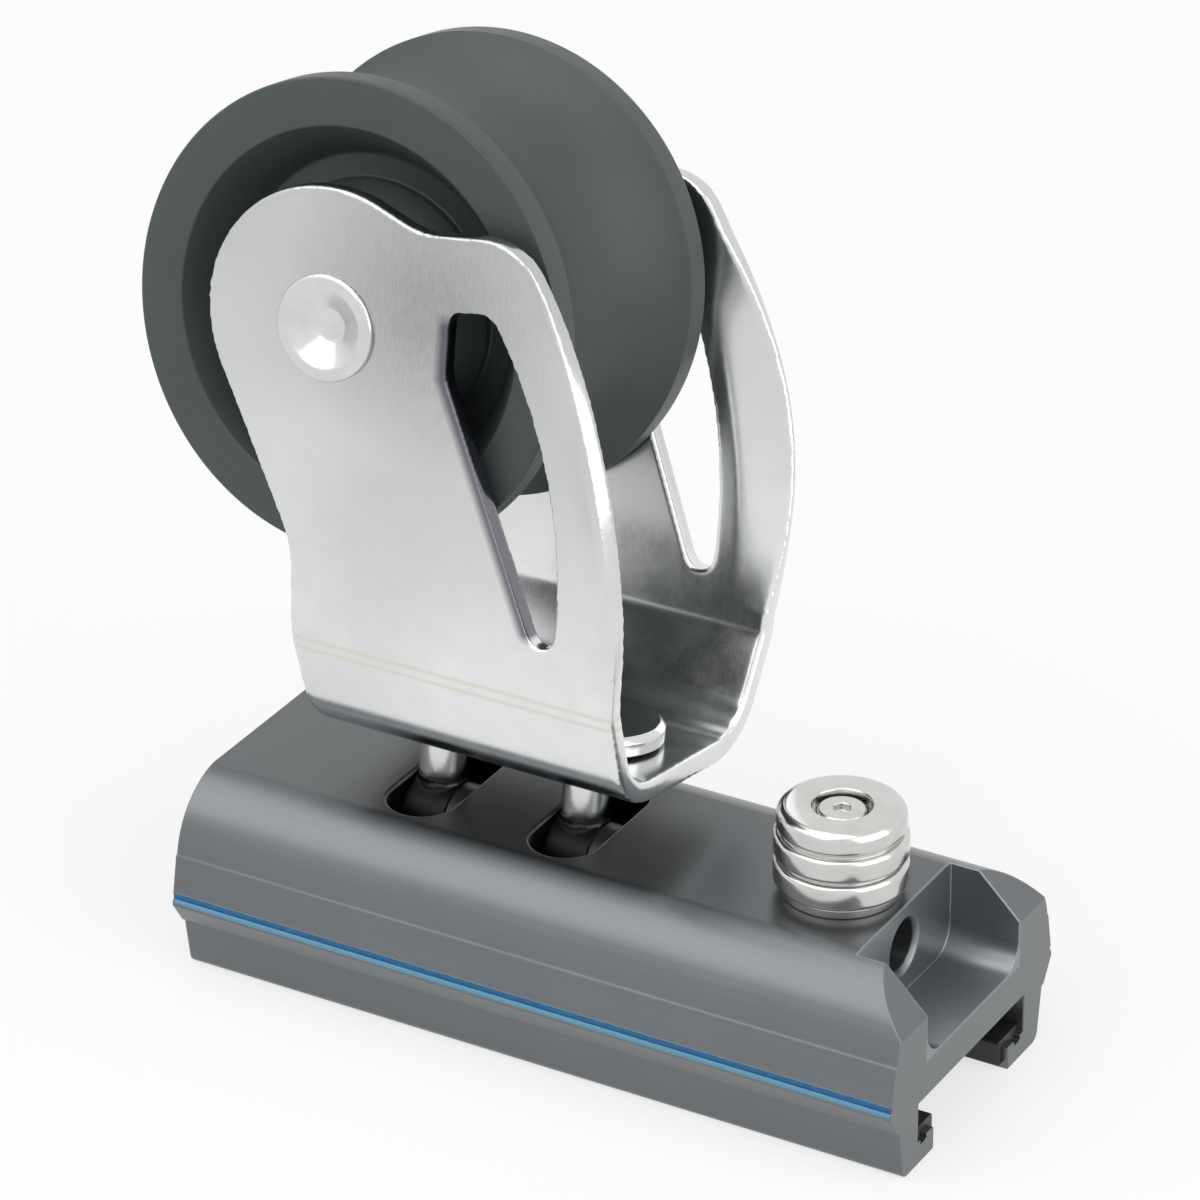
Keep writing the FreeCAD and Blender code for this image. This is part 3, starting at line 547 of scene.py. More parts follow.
def bracket_place(tree, place):
    """Height up the leaning bracket from the row's floor, distance across it, and X."""
    from_hinge = add(tree, "ShaderNodeVectorMath", {0: place, 1: HINGE}, operation="SUBTRACT")
    height = calculate(tree, "ADD", dot(tree, from_hinge, BRACKET_UP), HINGE.z)
    return height, dot(tree, from_hinge, SHEAVE_AXIS), parts_of(tree, place)["X"]


def satin_and_shade_patch(tree, x, height, lines):
    """A darker patch between the axle and the window, drawn out by the polishing lines: partly a satin
    zone of the polish, partly painted shade.
    """
    off_x = calculate(tree, "SUBTRACT", x, SATIN_AND_SHADE_PATCH[0] * MM)
    off_height = calculate(tree, "SUBTRACT", height, SATIN_AND_SHADE_PATCH[1] * MM)
    patch = inside(tree, distance(tree, off_x, off_height), 4.0 * MM, 22.0 * MM)
    return product(tree, patch, spread(tree, lines, *NOISE, 0.75, 1.0))


def rolled_edge_shade(tree, x, height):
    """1 on the window's edge towards the axle, which is rolled over, fading out behind it: where a dark
    shade is painted.
    """
    run = Vector(WINDOW_FOOT) - Vector(WINDOW_BEND)
    out = Vector((run.y, -run.x)).normalized()
    slant = calculate(tree, "ADD", product(tree, x, out.x), product(tree, height, out.y))
    slant = calculate(tree, "SUBTRACT", slant, out.dot(Vector(WINDOW_BEND)) * MM)
    upright = calculate(tree, "SUBTRACT", WINDOW_BEND[0] * MM, x)
    behind = calculate(tree, "MAXIMUM", slant, upright)
    return product(tree, inside(tree, behind, 0.7 * MM, 1.3 * MM),
                   spread(tree, behind, -2.0 * MM, -1.6 * MM),
                   inside(tree, x, WINDOW_FOOT[0] * MM, 0.5 * MM),
                   spread(tree, height, (WINDOW_FOOT[1] - 1.5) * MM, WINDOW_FOOT[1] * MM),
                   inside(tree, height, WINDOW_TOP * MM, 2.0 * MM))


def thin_line(tree, value, centre):
    """1 within a fifth of a millimetre of the centre, fading out beside it."""
    return inside(tree, away(tree, value, centre), 0.2 * MM, 0.3 * MM)


def polished_steel(looks):
    """Polished plate: bright, with faint polishing lines, a slightly uneven surface and a random haze,
    and with painted shade and painted reflections on its cheeks.
    """
    material, tree, shader = new_finish("polished_steel")
    place = object_place(tree)
    lines = grain(tree, stretched(tree, place, (1.0, 1.0, 0.06)), 3200, 2.0, 0.6)
    waves = grain(tree, place, 70, 2.0)
    clouds = grain(tree, place, 240, 4.0, 0.6)
    haze = grain(tree, place, 24, 1.0)
    height, across, x = bracket_place(tree, place)
    # Painted shade: the steel darker higher up the bracket, mixed below with a random haze
    upper_shade = spread(tree, height, 55.0 * MM, 100.0 * MM)
    near = inside(tree, across, NEAR_CHEEK * MM, 2.0 * MM)
    # Painted reflection: two thin yellowish lines along the near cheek's low bend
    bend = calculate(tree, "MAXIMUM", *(thin_line(tree, height, line * MM) for line in BEND_LINES))
    bend_reflection = tuple(part * share for part, share in zip(looks.steel, BEND_REFLECTION_TINT)) + (1.0,)
    haze_and_upper_shade = weighted(tree, spread(tree, haze, 0.4, 0.64), 0.35, upper_shade)
    # Partly painted shade: a darker satin patch on the near cheek
    patch = product(tree, near, satin_and_shade_patch(tree, x, height, lines))
    # Painted shade: the window's rolled edge made dark
    rolled = product(tree, near, rolled_edge_shade(tree, x, height), 0.8)
    colour = coated(tree, mottled(tree, clouds, STRONG_NOISE, looks.steel, 0.965, 1.02),
                    (haze_and_upper_shade, tint(looks.steel, 0.7)), (patch, tint(looks.steel, 0.44)),
                    (rolled, ROLLED_SHADE), (product(tree, near, bend, 0.5), bend_reflection))
    roughness = spread(tree, calculate(tree, "ADD", lines, clouds), 0.7, 1.3,
                       looks.roughness * 0.82, looks.roughness * 1.2)
    feed(tree, shader, base_color=colour, metallic=1.0, roughness=roughness,
         normal=relief(tree, lines, 0.0016 * MM, relief(tree, waves, 0.05 * MM)))
    return material


def turned_steel(name, colour, centre, axis, roughness, shade_top=None):
    """Turned steel, with fine rings round its axis, and a nearly black painted shade below the given
    height, where the legs stand in their slots.
    """
    material, tree, shader = new_finish(name)
    rings_place, plain_place = axis_place(tree, centre, axis)
    rings = grain(tree, rings_place, 3000, 2.0, 0.6)
    clouds = grain(tree, plain_place, 300, 3.0)
    mixed = mottled(tree, clouds, STRONG_NOISE, colour, 0.95, 1.03)
    blur = spread(tree, rings, *NOISE, roughness * 0.8, roughness * 1.25)
    if shade_top is not None:
        height = parts_of(tree, object_place(tree))["Z"]
        edge = calculate(tree, "ADD", height, product(tree, clouds, 1.5 * MM))
        # Painted shade: the legs made dark where they sit in their slots
        eye_shade = inside(tree, edge, shade_top - 0.6 * MM, 1.2 * MM)
        mixed = mixed_colours(tree, eye_shade, mixed, tint(colour, 0.04))
        blur = calculate(tree, "MAXIMUM", blur, product(tree, eye_shade, 0.5))
    feed(tree, shader, base_color=mixed, metallic=1.0, roughness=blur,
         normal=relief(tree, rings, 0.0035 * MM))
    return material


def sheave_plastic(looks):
    """Dark turned plastic with fine rings and a soft sheen."""
    material, tree, shader = new_finish("sheave_plastic")
    rings_place, plain_place = axis_place(tree, SHEAVE_CENTRE, SHEAVE_AXIS)
    rings = grain(tree, rings_place, 1900, 3.0, 0.6)
    clouds = grain(tree, plain_place, 90, 3.0)
    speckle = grain(tree, plain_place, 5200, 2.0)
    tone = weighted(tree, rings, 0.55, clouds)
    feed(tree, shader, base_color=mottled(tree, tone, NOISE, looks.plastic, 0.88, 1.12), metallic=0.0,
         roughness=spread(tree, tone, *NOISE, 0.4, 0.5),
         normal=relief(tree, rings, 0.008 * MM, relief(tree, speckle, 0.006 * MM)))
    return material


def moulded_plastic(name, colour, roughness):
    """Plain moulded or drawn plastic with a fine skin."""
    material, tree, shader = new_finish(name)
    place = object_place(tree)
    skin = grain(tree, place, 4200, 2.0)
    clouds = grain(tree, place, 120, 2.0)
    feed(tree, shader, base_color=mottled(tree, clouds, NOISE, colour, 0.9, 1.1),
         roughness=spread(tree, skin, *NOISE, roughness * 0.9, roughness * 1.1),
         normal=relief(tree, skin, 0.006 * MM))
    return material


def line_paint(looks):
    """The coloured line: darker in its middle, and paler towards both edges as a painted highlight."""
    material, tree, shader = new_finish("line_paint")
    place = object_place(tree)
    off_middle = away(tree, parts_of(tree, place)["Z"], LINE_HEIGHT * MM)
    # Painted highlight: the line's edges made paler
    rim = spread(tree, off_middle, looks.line_width * 0.42, looks.line_width * 0.5, 0.0, 0.5)
    uneven = grain(tree, place, 900, 2.0)
    middle = mottled(tree, uneven, NOISE, looks.line, 0.85, 1.15)
    feed(tree, shader, base_color=mixed_colours(tree, rim, middle, paint_highlight(looks)), roughness=0.42,
         normal=relief(tree, uneven, 0.01 * MM))
    return material


def clean_mesh(name, shell):
    """A new mesh from a bmesh that is then freed, shaded smooth but for its sharp edges."""
    mesh = bpy.data.meshes.new(name)
    shell.to_mesh(mesh)
    shell.free()
    for layer in ("custom_normal", "sharp_face"):
        if layer in mesh.attributes:
            mesh.attributes.remove(mesh.attributes[layer])
    mesh.shade_smooth()
    return mesh


def dress(mesh, material):
    """Gives a mesh this material and no other."""
    mesh.materials.clear()
    mesh.materials.append(material)


def place_on_body(piece, body, slot_name, *nodes):
    """Puts a finished piece on its body in place of the CAD nodes that it stands for."""
    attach(piece, body)
    if nodes:
        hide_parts(*nodes)


def new_piece(name, material, mesh=None):
    """An object in the scene with this mesh, or with an empty one."""
    mesh = mesh or bpy.data.meshes.new(name)
    piece = bpy.data.objects.new(name, mesh)
    bpy.context.scene.collection.objects.link(piece)
    dress(mesh, material)
    return piece


def with_modifiers_applied(piece):
    """Turns the modifiers' result into the piece's own mesh."""
    bpy.context.view_layer.update()
    seen = piece.evaluated_get(bpy.context.evaluated_depsgraph_get())
    mesh = bpy.data.meshes.new_from_object(seen)
    piece.modifiers.clear()
    piece.data = mesh
    return piece


def merged(mesh):
    """A bmesh of a mesh with the points that lie on each other joined."""
    shell = bmesh.new()
    shell.from_mesh(mesh)
    bmesh.ops.remove_doubles(shell, verts=shell.verts, dist=MERGE_DISTANCE)
    return shell


def softened_copy(node, material, skin_size, passes, kept_faces):
    """A copy of a CAD node with an even new skin, which smoothing then rounds at every edge.

    The skin is made while the node is turned, so that none of its edges runs along the skin's grid.
    """
    name = node + "_look"
    piece = new_piece(name, material, clean_mesh(name, merged(frame["nodes"][node].data)))
    turn = Euler(SKIN_TURN).to_matrix().to_4x4()
    piece.data.transform(turn)
    skin = piece.modifiers.new("Skin", "REMESH")
    skin.mode = "VOXEL"
    skin.voxel_size = skin_size
    skin.use_smooth_shade = True
    rounding = piece.modifiers.new("Rounding", "SMOOTH")
    rounding.factor = 0.5
    rounding.iterations = passes
    thinning = piece.modifiers.new("Thinning", "DECIMATE")
    thinning.ratio = kept_faces
    with_modifiers_applied(piece)
    piece.data.transform(turn.inverted())
    return piece


def rounded_copy(node, material, edge_round):
    """A copy of a CAD node with merged points, rounded edges and smooth shading."""
    shell = merged(frame["nodes"][node].data)
    bmesh.ops.dissolve_limit(shell, angle_limit=FLAT_ANGLE, verts=shell.verts, edges=shell.edges,
                             use_dissolve_boundaries=False)
    name = node + "_look"
    piece = new_piece(name, material, clean_mesh(name, shell))
    rounding = piece.modifiers.new("Rounding", "BEVEL")
    rounding.width = edge_round
    rounding.segments = ROUNDING_STEPS
    rounding.limit_method = "ANGLE"
    rounding.angle_limit = ROUNDED_ANGLE
    rounding.use_clamp_overlap = False
    rounding.miter_outer = "MITER_ARC"
    shading = piece.modifiers.new("Shading", "WEIGHTED_NORMAL")
    shading.keep_sharp = True
    return with_modifiers_applied(piece)


def rounded_outline(corners, steps=5):
    """Points of a closed outline from corners (radius, height, rounding), in millimetres."""
    points = []
    for i, (x, y, rounding) in enumerate(corners):
        corner = Vector((x, y))
        if rounding <= 0:
            points.append(corner)
            continue
        back = (Vector(corners[i - 1][:2]) - corner).normalized()
        on = (Vector(corners[(i + 1) % len(corners)][:2]) - corner).normalized()
        half_angle = back.angle(on) / 2
        reach = rounding / math.tan(half_angle)
        centre = corner + (back + on).normalized() * (rounding / math.sin(half_angle))
        start = corner + back * reach - centre
        turn = start.angle_signed(corner + on * reach - centre)
        for step in range(steps + 1):
            points.append(centre + Matrix.Rotation(-turn * step / steps, 2) @ start)
    return [point * MM for point in points]


def shape_tree(name, counts, sizes):
    """A Geometry Nodes tree with a named input for each count and size, and those inputs."""
    tree = bpy.data.node_groups.new(name, "GeometryNodeTree")
    kinds = [("Geometry", "Geometry"), *((count, "Int") for count in counts),
             *((size, "Float") for size in sizes), ("Material", "Material")]
    for label, kind in kinds:
        tree.interface.new_socket(label, in_out="INPUT", socket_type="NodeSocket" + kind)
    tree.interface.new_socket("Geometry", in_out="OUTPUT", socket_type="NodeSocketGeometry")
    return tree, add(tree, "NodeGroupInput").outputs


def finished_tree(tree, given, shape):
    """The tree with its shape made real and dressed in the material that it is given."""
    real = add(tree, "GeometryNodeRealizeInstances", {"Geometry": shape})
    dressed = add(tree, "GeometryNodeSetMaterial", {"Geometry": real, "Material": given["Material"]})
    add(tree, "NodeGroupOutput", {"Geometry": dressed})
    return tree


def grow(piece, tree, material, values):
    """Runs a tree on a piece. Its inputs are set by their sockets' identifiers."""
    growing = piece.modifiers.new(tree.name, "NODES")
    growing.node_group = tree
    values["Material"] = material
    for socket in tree.interface.items_tree:
        if socket.in_out == "INPUT" and socket.name in values:
            growing[socket.identifier] = values[socket.name]
    with_modifiers_applied(piece)


def turned_tree():
    """Geometry nodes that turn a closed outline, drawn as radius and height, round the Z axis."""
    tree, given = shape_tree("Turned Piece", ("Segments",), ("Path Radius",))
    inward = add(tree, "ShaderNodeCombineXYZ", {"X": product(tree, given["Path Radius"], -1.0)})
    drawn = add(tree, "GeometryNodeTransform", {
        "Geometry": given["Geometry"], "Translation": inward, "Scale": (1.0, -1.0, 1.0)})
    outline = add(tree, "GeometryNodeMeshToCurve", {"Mesh": drawn})
    circle = add(tree, "GeometryNodeCurvePrimitiveCircle", {
        "Resolution": given["Segments"], "Radius": given["Path Radius"]})
    swept = add(tree, "GeometryNodeCurveToMesh", {"Curve": circle, "Profile Curve": outline})
    return finished_tree(tree, given, swept)


def turned_piece(name, corners, segments, material, placement):
    """A turned piece from its closed outline, put where placement says."""
    outline = rounded_outline(corners)
    mesh = bpy.data.meshes.new(name)
    edges = [(i, (i + 1) % len(outline)) for i in range(len(outline))]
    mesh.from_pydata([(point.x, point.y, 0.0) for point in outline], edges, [])
    piece = new_piece(name, material, mesh)
    grow(piece, turned_tree(), material, {"Segments": segments, "Path Radius": outline[0].x})
    shell = merged(piece.data)
    bmesh.ops.recalc_face_normals(shell, faces=shell.faces)
    mesh = clean_mesh(name, shell)
    mesh.set_sharp_from_angle(angle=TURNED_SHARP_ANGLE)
    mesh.transform(placement)
    dress(mesh, material)
    piece.data = mesh
    return piece


def side_line_tree():
    """Geometry nodes that lay the coloured line along both sides of the car."""
    sizes = ("Length", "Width", "Thickness", "Off Middle", "Height")
    tree, given = shape_tree("Side Lines", (), sizes)
    half = product(tree, given["Length"], 0.5)
    start, end = (add(tree, "ShaderNodeCombineXYZ", {
        "X": x, "Y": given["Off Middle"], "Z": given["Height"]})
        for x in (product(tree, half, -1.0), half))
    run = add(tree, "GeometryNodeCurvePrimitiveLine", {"Start": start, "End": end})
    upright = add(tree, "GeometryNodeSetCurveNormal", {"Curve": run}, mode="Z_UP")
    section = add(tree, "GeometryNodeCurvePrimitiveQuadrilateral", {
        "Width": given["Thickness"], "Height": given["Width"]})
    corner = product(tree, given["Thickness"], 0.4)
    soft = add(tree, "GeometryNodeFilletCurve", {"Curve": section, "Radius": corner})
    swept = add(tree, "GeometryNodeCurveToMesh", {
        "Curve": upright, "Profile Curve": soft, "Fill Caps": True})
    half_turn = add(tree, "GeometryNodeTransform", {
        "Geometry": swept, "Rotation": (0.0, 0.0, math.pi)})
    both = add(tree, "GeometryNodeJoinGeometry", {"Geometry": swept})
    give(tree, both.inputs["Geometry"], half_turn)
    return finished_tree(tree, given, both)


def coil_tree():
    """Geometry nodes that wind a round wire into a spring along the Z axis."""
    tree, given = shape_tree("Coil Spring", (), ("Coil Radius", "Wire Radius", "Height", "Turns"))
    path = add(tree, "GeometryNodeCurveSpiral", {
        "Resolution": SPRING_STEPS, "Rotations": given["Turns"], "Start Radius": given["Coil Radius"],
        "End Radius": given["Coil Radius"], "Height": given["Height"]})
    wire = add(tree, "GeometryNodeCurvePrimitiveCircle", {
        "Resolution": WIRE_STEPS, "Radius": given["Wire Radius"]})
    wound = add(tree, "GeometryNodeCurveToMesh", {
        "Curve": path, "Profile Curve": wire, "Fill Caps": True})
    return finished_tree(tree, given, wound)


def finish_node(node, material):
    """Gives a CAD node that stays its material."""
    dress(frame["nodes"][node].data, material)


class GENOA_OT_car_body(bpy.types.Operator):
    """Makes the car body with broken edges, and finishes its liners, hinge pin and spacers"""

    bl_idname = "genoa.car_body"
    bl_label = "Car Body"

    def execute(self, context):
        looks = context.scene.genoa_car
        body = rounded_copy("car_body", anodised_alloy(looks), looks.edge_round)
        place_on_body(body, "car", "car_alloy", "car_body")
        black = moulded_plastic("liner_plastic", looks.liner, 0.42)
        for node in ("liner_near", "liner_far"):
            place_on_body(rounded_copy(node, black, LINER_ROUND * MM), "car", "liner_plastic", node)
        finish_node("eye_spacers", black)
        steel = turned_steel("pin_steel", context.scene.genoa_bracket.steel, HINGE, ALONG, 0.25)
        pin = rounded_copy("hinge_pin", steel, PIN_ROUND * MM)
        place_on_body(pin, "car", "fitting_steel", "hinge_pin")
        return {"FINISHED"}


class GENOA_OT_side_lines(bpy.types.Operator):
    """Lays the coloured line in the groove along each side of the car"""

    bl_idname = "genoa.side_lines"
    bl_label = "Side Lines"

    def execute(self, context):
        looks = context.scene.genoa_car
        paint = line_paint(looks)
        lines = new_piece("side_lines", paint)
        grow(lines, side_line_tree(), paint, {
            "Length": CAR_HIGH.x - CAR_LOW.x - 0.3 * MM, "Width": looks.line_width,
            "Thickness": looks.line_thickness, "Height": LINE_HEIGHT * MM,
            "Off Middle": LINE_BACK * MM + looks.line_thickness / 2})
        place_on_body(lines, "car", "side_line")
        return {"FINISHED"}


class GENOA_OT_bracket(bpy.types.Operator):
    """Makes the polished bracket with rounded edges"""

    bl_idname = "genoa.bracket"
    bl_label = "Bracket"

    def execute(self, context):
        looks = context.scene.genoa_bracket
        bracket = softened_copy("bracket", polished_steel(looks), looks.skin_size, looks.edge_passes,
                                looks.kept_faces)
        place_on_body(bracket, "bracket_group", "bracket_steel", "bracket")
        return {"FINISHED"}


class GENOA_OT_fittings(bpy.types.Operator):
    """Makes the legs, cap screws, axle and side washers"""

    bl_idname = "genoa.fittings"
    bl_label = "Legs, Screws and Axle"

    def execute(self, context):
        looks = context.scene.genoa_bracket
        plain = tint(looks.steel, 0.84)[:3]
        for place in ("rear", "front"):
            low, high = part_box("leg_screw_" + place)
            centre = Vector(((low.x + high.x) / 2, HINGE.y, HINGE.z))
            steel = turned_steel("leg_steel_" + place, plain, centre, BRACKET_UP, 0.16,
                                 LEG_SHADE_TOP * MM)
            leg = softened_copy("leg_" + place, steel, LEG_SKIN * MM, LEG_PASSES, looks.kept_faces)
            place_on_body(leg, "bracket_group", "fitting_steel", "leg_" + place)
            screw = rounded_copy("leg_screw_" + place, steel, looks.fitting_round)
            place_on_body(screw, "bracket_group", "fitting_steel", "leg_screw_" + place)
        steel = turned_steel("axle_steel", plain, SHEAVE_CENTRE, SHEAVE_AXIS, 0.22)
        axle = softened_copy("axle", steel, AXLE_SKIN * MM, AXLE_PASSES, looks.kept_faces)
        place_on_body(axle, "bracket_group", "fitting_steel", "axle")
        pale = moulded_plastic("bearing_plastic", context.scene.genoa_sheave.bearing, 0.4)
        for node in ("sheave_washer_near", "sheave_washer_far", "sheave_bush"):
            finish_node(node, pale)
        return {"FINISHED"}


class GENOA_OT_sheave(bpy.types.Operator):
    """Turns the sheave from its outline: groove, rims, and a recess round the hub on each side"""

    bl_idname = "genoa.sheave"
    bl_label = "Sheave"

    def execute(self, context):
        looks = context.scene.genoa_sheave
        outline = self.half_outline(looks)
        mirrored = [(radius, -height, rounding) for radius, height, rounding in outline[::-1]]
        corners = outline + mirrored + self.groove(looks)
        placement = Matrix.Translation(SHEAVE_CENTRE)
        placement = placement @ UP.rotation_difference(SHEAVE_AXIS).to_matrix().to_4x4()
        plastic = sheave_plastic(looks)
        sheave = turned_piece("sheave_look", corners, looks.segments, plastic, placement)
        place_on_body(sheave, "sheave_group", "sheave_plastic", "sheave")
        return {"FINISHED"}

    def half_outline(self, looks):
        """Corners from one rim's inner edge to the bore on the same side."""
        radius = looks.diameter / 2 / MM
        edge = looks.edge_round / MM
        floor = SHEAVE_HALF_WIDTH - RECESS_DEPTH
        return [(radius, SHEAVE_HALF_WIDTH - edge - RIM_WIDTH, 0.0), (radius, SHEAVE_HALF_WIDTH, edge),
                (RECESS_RADIUS, SHEAVE_HALF_WIDTH, 0.5), (RECESS_FLOOR_RADIUS, floor, 0.8),
                (HUB_FOOT_RADIUS, floor, 0.4), (HUB_FOOT_RADIUS, floor + HUB_STEP, 0.3),
                (HUB_SHOULDER_RADIUS, HUB_HALF_WIDTH - HUB_SHOULDER_DROP, 1.0),
                (HUB_FACE_RADIUS, HUB_HALF_WIDTH, 0.6), (HUB_BORE_RADIUS, HUB_HALF_WIDTH, 0.3)]

    def groove(self, looks):
        """Points of the rope groove's arc, between the rims' inner edges."""
        radius = looks.diameter / 2 / MM
        reach = SHEAVE_HALF_WIDTH - looks.edge_round / MM - RIM_WIDTH
        arc = (reach ** 2 + GROOVE_DEPTH ** 2) / (2 * GROOVE_DEPTH)
        centre = radius - GROOVE_DEPTH + arc
        half_turn = math.asin(reach / arc)
        turns = [half_turn * (2 * step / GROOVE_STEPS - 1) for step in range(1, GROOVE_STEPS)]
        return [(centre - arc * math.cos(turn), arc * math.sin(turn), 0.0) for turn in turns]


class GENOA_OT_plunger(bpy.types.Operator):
    """Turns the plunger's knob and finishes its screw, pin, bush and spring"""

    bl_idname = "genoa.plunger"
    bl_label = "Plunger"

    def execute(self, context):
        looks = context.scene.genoa_knob
        steel = turned_steel("knob_steel", looks.steel, KNOB_CENTRE, UP, 0.16)
        placement = Matrix.Translation((KNOB_CENTRE.x, KNOB_CENTRE.y, KNOB_LOW.z))
        corners = self.knob_corners(looks)
        knob = turned_piece("plunger_knob_look", corners, looks.segments, steel, placement)
        place_on_body(knob, "plunger_group", "knob_steel", "plunger_knob")
        fitting = turned_steel("plunger_steel", looks.steel, KNOB_CENTRE, UP, 0.24)
        for node in ("knob_screw", "plunger_pin"):
            piece = rounded_copy(node, fitting, PLUNGER_ROUND * MM)
            place_on_body(piece, "plunger_group", "fitting_steel", node)
        bush = rounded_copy("plunger_bush", fitting, BUSH_ROUND * MM)
        place_on_body(bush, "car", "fitting_steel", "plunger_bush")
        self.spring(turned_steel("spring_wire", looks.steel, KNOB_CENTRE, UP, 0.3))
        return {"FINISHED"}

    def spring(self, material):
        """Winds the spring and puts it on the car's body."""
        spring = new_piece("plunger_spring_look", material)
        wire = SPRING_WIRE * MM
        length = SPRING_HIGH.z - SPRING_LOW.z
        grow(spring, coil_tree(), material, {
            "Coil Radius": (SPRING_HIGH.x - SPRING_LOW.x - wire) / 2, "Wire Radius": wire / 2,
            "Height": length - wire, "Turns": SPRING_TURNS})
        start = Vector((KNOB_CENTRE.x, KNOB_CENTRE.y, SPRING_LOW.z + wire / 2))
        spring.data.transform(Matrix.Translation(start))
        place_on_body(spring, "car", "spring_steel", "plunger_spring")
        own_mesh(spring)

    def knob_corners(self, looks):
        """The knob's closed outline: three bands, their grooves, the recess and the stem's hole."""
        radius = looks.diameter / 2 / MM
        edge = looks.edge_round / MM
        top = (KNOB_HIGH.z - KNOB_LOW.z) / MM
        recess = looks.recess_diameter / 2 / MM
        recess_floor = top - looks.recess_depth / MM
        waist = radius - KNOB_GROOVE_DEPTH
        low_top = KNOB_LOW_GROOVE + KNOB_GROOVE_WIDTH
        high_top = KNOB_HIGH_GROOVE + KNOB_GROOVE_WIDTH
        foot = recess_floor - KNOB_FLOOR
        return [(KNOB_STEM_RADIUS, 0.0, 0.0), (radius, 0.0, edge), (radius, KNOB_LOW_GROOVE, edge),
                (waist, KNOB_LOW_GROOVE, 0.0), (waist, low_top, 0.0),
                (radius, low_top, edge), (radius, KNOB_HIGH_GROOVE, edge),
                (waist, KNOB_HIGH_GROOVE, 0.0), (waist, high_top, 0.0),
                (KNOB_TOP_RADIUS, high_top, edge), (KNOB_TOP_RADIUS, top, looks.top_round / MM),
                (recess, top, 0.35), (recess, recess_floor, 0.2),
                (KNOB_SHANK_RADIUS, recess_floor, 0.0), (KNOB_SHANK_RADIUS, foot, 0.0),
                (KNOB_STEM_RADIUS, foot, 0.0)]


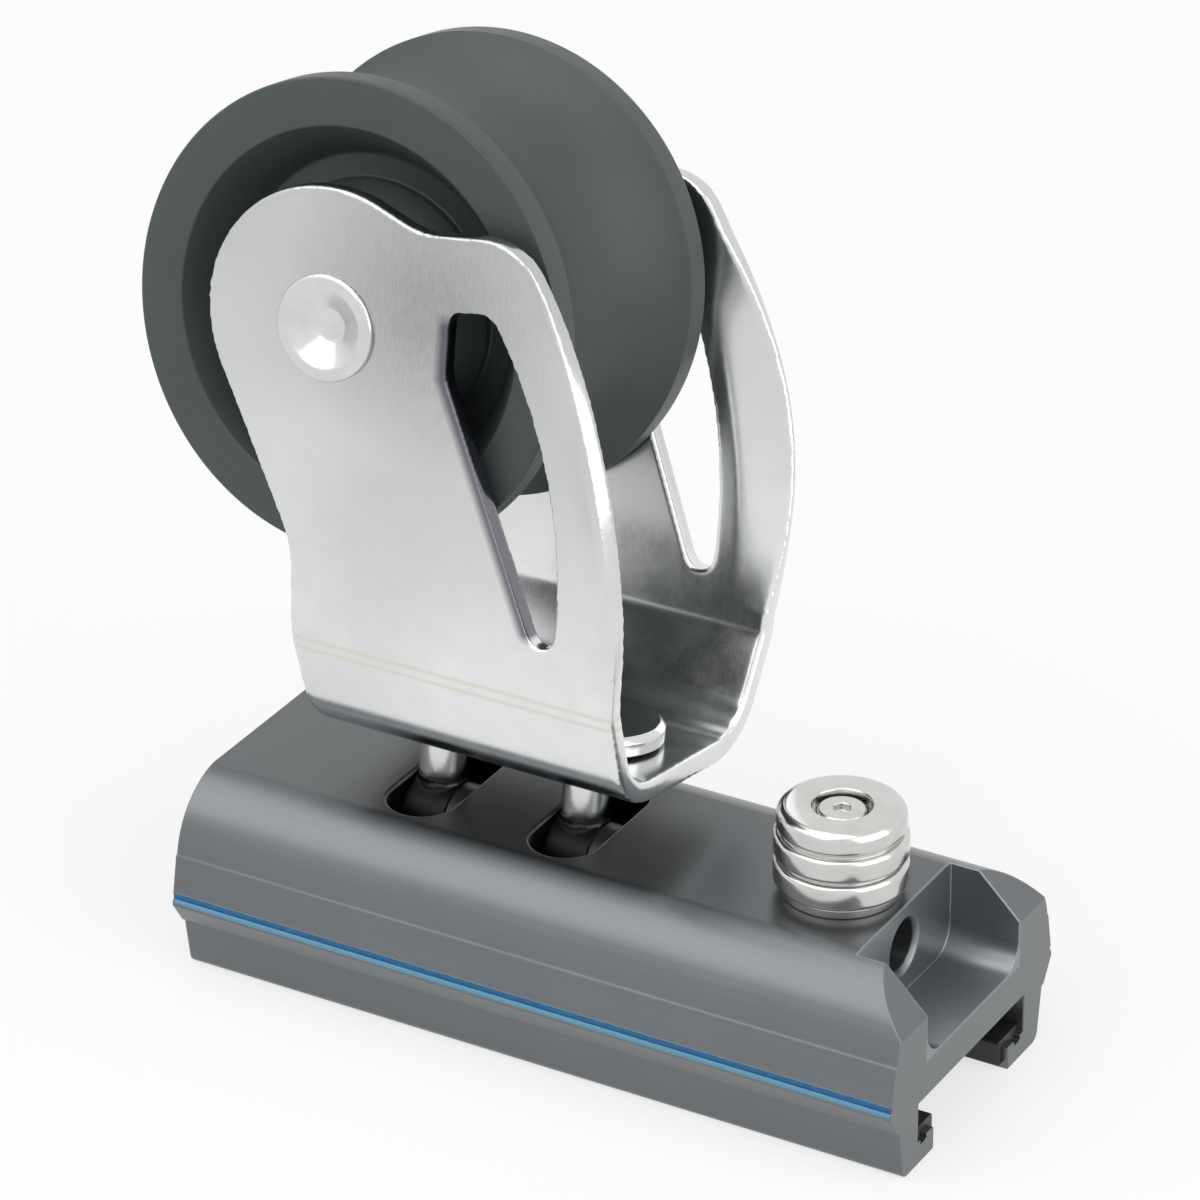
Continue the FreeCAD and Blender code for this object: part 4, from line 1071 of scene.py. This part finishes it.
class GENOA_OT_stage(bpy.types.Operator):
    """Sets up the pale floor, the soft lamps, the surround and the camera"""

    bl_idname = "genoa.stage"
    bl_label = "Stage"

    def execute(self, context):
        looks = context.scene.genoa_stage
        self.floor(looks)
        self.surround(context.scene, looks)
        for name, (place, size, in_reflections) in LAMPS.items():
            lamp = self.lamp(name, getattr(looks, name + "_power"), place, size)
            lamp.visible_glossy = in_reflections
        self.camera(context.scene)
        context.scene.view_settings.view_transform = "Standard"
        return {"FINISHED"}

    def floor(self, looks):
        """A wide floor whose own light, seen by camera and reflections only, keeps it pale."""
        half = FLOOR_HALF
        mesh = bpy.data.meshes.new("floor")
        mesh.from_pydata([(-half, -half, 0), (half, -half, 0), (half, half, 0), (-half, half, 0)], [],
                         [(0, 1, 2, 3)])
        material = bpy.data.materials.new("floor_paper")
        tree = empty_tree(material)
        paper = add(tree, "ShaderNodeBsdfDiffuse", {"Color": tint(looks.floor, 1.0), "Roughness": 0.6})
        glow = add(tree, "ShaderNodeEmission", {"Color": WHITE, "Strength": 1.0})
        share = product(tree, self.seen_rays(tree), FLOOR_GLOW)
        mixed = add(tree, "ShaderNodeMixShader", {0: share, 1: paper, 2: glow})
        add(tree, "ShaderNodeOutputMaterial", {"Surface": mixed})
        floor = new_piece("floor", material, mesh)

    def seen_rays(self, tree):
        """1 for camera, glossy and transmission rays, 0 for the rest."""
        rays = add(tree, "ShaderNodeLightPath").outputs
        some = calculate(tree, "MAXIMUM", rays["Is Camera Ray"], rays["Is Glossy Ray"])
        return calculate(tree, "MAXIMUM", some, rays["Is Transmission Ray"])

    def surround(self, scene, looks):
        """A white surround that lights the object less strongly than it looks."""
        scene.world = bpy.data.worlds.new("surround")
        tree = empty_tree(scene.world)
        strength = spread(tree, self.seen_rays(tree), 0.0, 1.0, looks.surround, 1.0)
        light = add(tree, "ShaderNodeBackground", {"Color": WHITE, "Strength": strength})
        add(tree, "ShaderNodeOutputWorld", {"Surface": light})

    def lamp(self, name, power, place, size):
        """A square soft lamp that points at the object's middle."""
        data = bpy.data.lights.new(name, "AREA")
        data.energy = power
        data.shape = "SQUARE"
        data.size = size
        lamp = bpy.data.objects.new(name, data)
        lamp.location = place
        lamp.rotation_euler = (CAMERA_TARGET - Vector(place)).to_track_quat("-Z", "Y").to_euler()
        bpy.context.scene.collection.objects.link(lamp)
        return lamp

    def camera(self, scene):
        back = Vector((math.sin(CAMERA_AZIMUTH) * math.cos(CAMERA_ELEVATION),
                       -math.cos(CAMERA_AZIMUTH) * math.cos(CAMERA_ELEVATION),
                       math.sin(CAMERA_ELEVATION)))
        level = Vector((math.cos(CAMERA_AZIMUTH), math.sin(CAMERA_AZIMUTH), 0))
        above = back.cross(level)
        right = level * math.cos(CAMERA_ROLL) + above * math.sin(CAMERA_ROLL)
        up = back.cross(right)
        data = bpy.data.cameras.new("camera")
        data.sensor_width = SENSOR_WIDTH
        data.lens = CAMERA_LENS
        data.clip_start = CAMERA_CLIP
        camera = bpy.data.objects.new("camera", data)
        axes = Matrix((right, up, back)).transposed()
        camera.matrix_world = Matrix.Translation(CAMERA_TARGET + back * CAMERA_DISTANCE) @ axes.to_4x4()
        scene.collection.objects.link(camera)
        scene.camera = camera


class GENOA_PT_looks(bpy.types.Panel):
    """Lists the pieces of the genoa car and their sizes and colours."""

    bl_label = "Genoa Car"
    bl_idname = "GENOA_PT_looks"
    bl_space_type = "VIEW_3D"
    bl_region_type = "UI"
    bl_category = "Genoa Car"

    def draw(self, context):
        for operator in OPERATORS:
            self.layout.operator(operator.bl_idname)
        for name, group in GROUPS.items():
            box = self.layout.box()
            for prop in group.__annotations__:
                box.prop(getattr(context.scene, name), prop)


GROUPS = {"genoa_car": CarLooks, "genoa_bracket": BracketLooks, "genoa_sheave": SheaveLooks,
          "genoa_knob": KnobLooks, "genoa_stage": StageLooks}
OPERATORS = (GENOA_OT_car_body, GENOA_OT_side_lines, GENOA_OT_bracket, GENOA_OT_fittings,
             GENOA_OT_sheave, GENOA_OT_plunger, GENOA_OT_stage)


def register():
    for group in GROUPS.values():
        bpy.utils.register_class(group)
    for name, group in GROUPS.items():
        setattr(bpy.types.Scene, name, PointerProperty(type=group))
    for operator in OPERATORS:
        bpy.utils.register_class(operator)
    bpy.utils.register_class(GENOA_PT_looks)


def unregister():
    bpy.utils.unregister_class(GENOA_PT_looks)
    for operator in reversed(OPERATORS):
        bpy.utils.unregister_class(operator)
    for name in GROUPS:
        delattr(bpy.types.Scene, name)
    for group in reversed(GROUPS.values()):
        bpy.utils.unregister_class(group)


def main():
    register()
    bpy.ops.genoa.car_body()
    bpy.ops.genoa.side_lines()
    bpy.ops.genoa.bracket()
    bpy.ops.genoa.fittings()
    bpy.ops.genoa.sheave()
    bpy.ops.genoa.plunger()
    bpy.ops.genoa.stage()


if __name__ == "__main__":
    main()
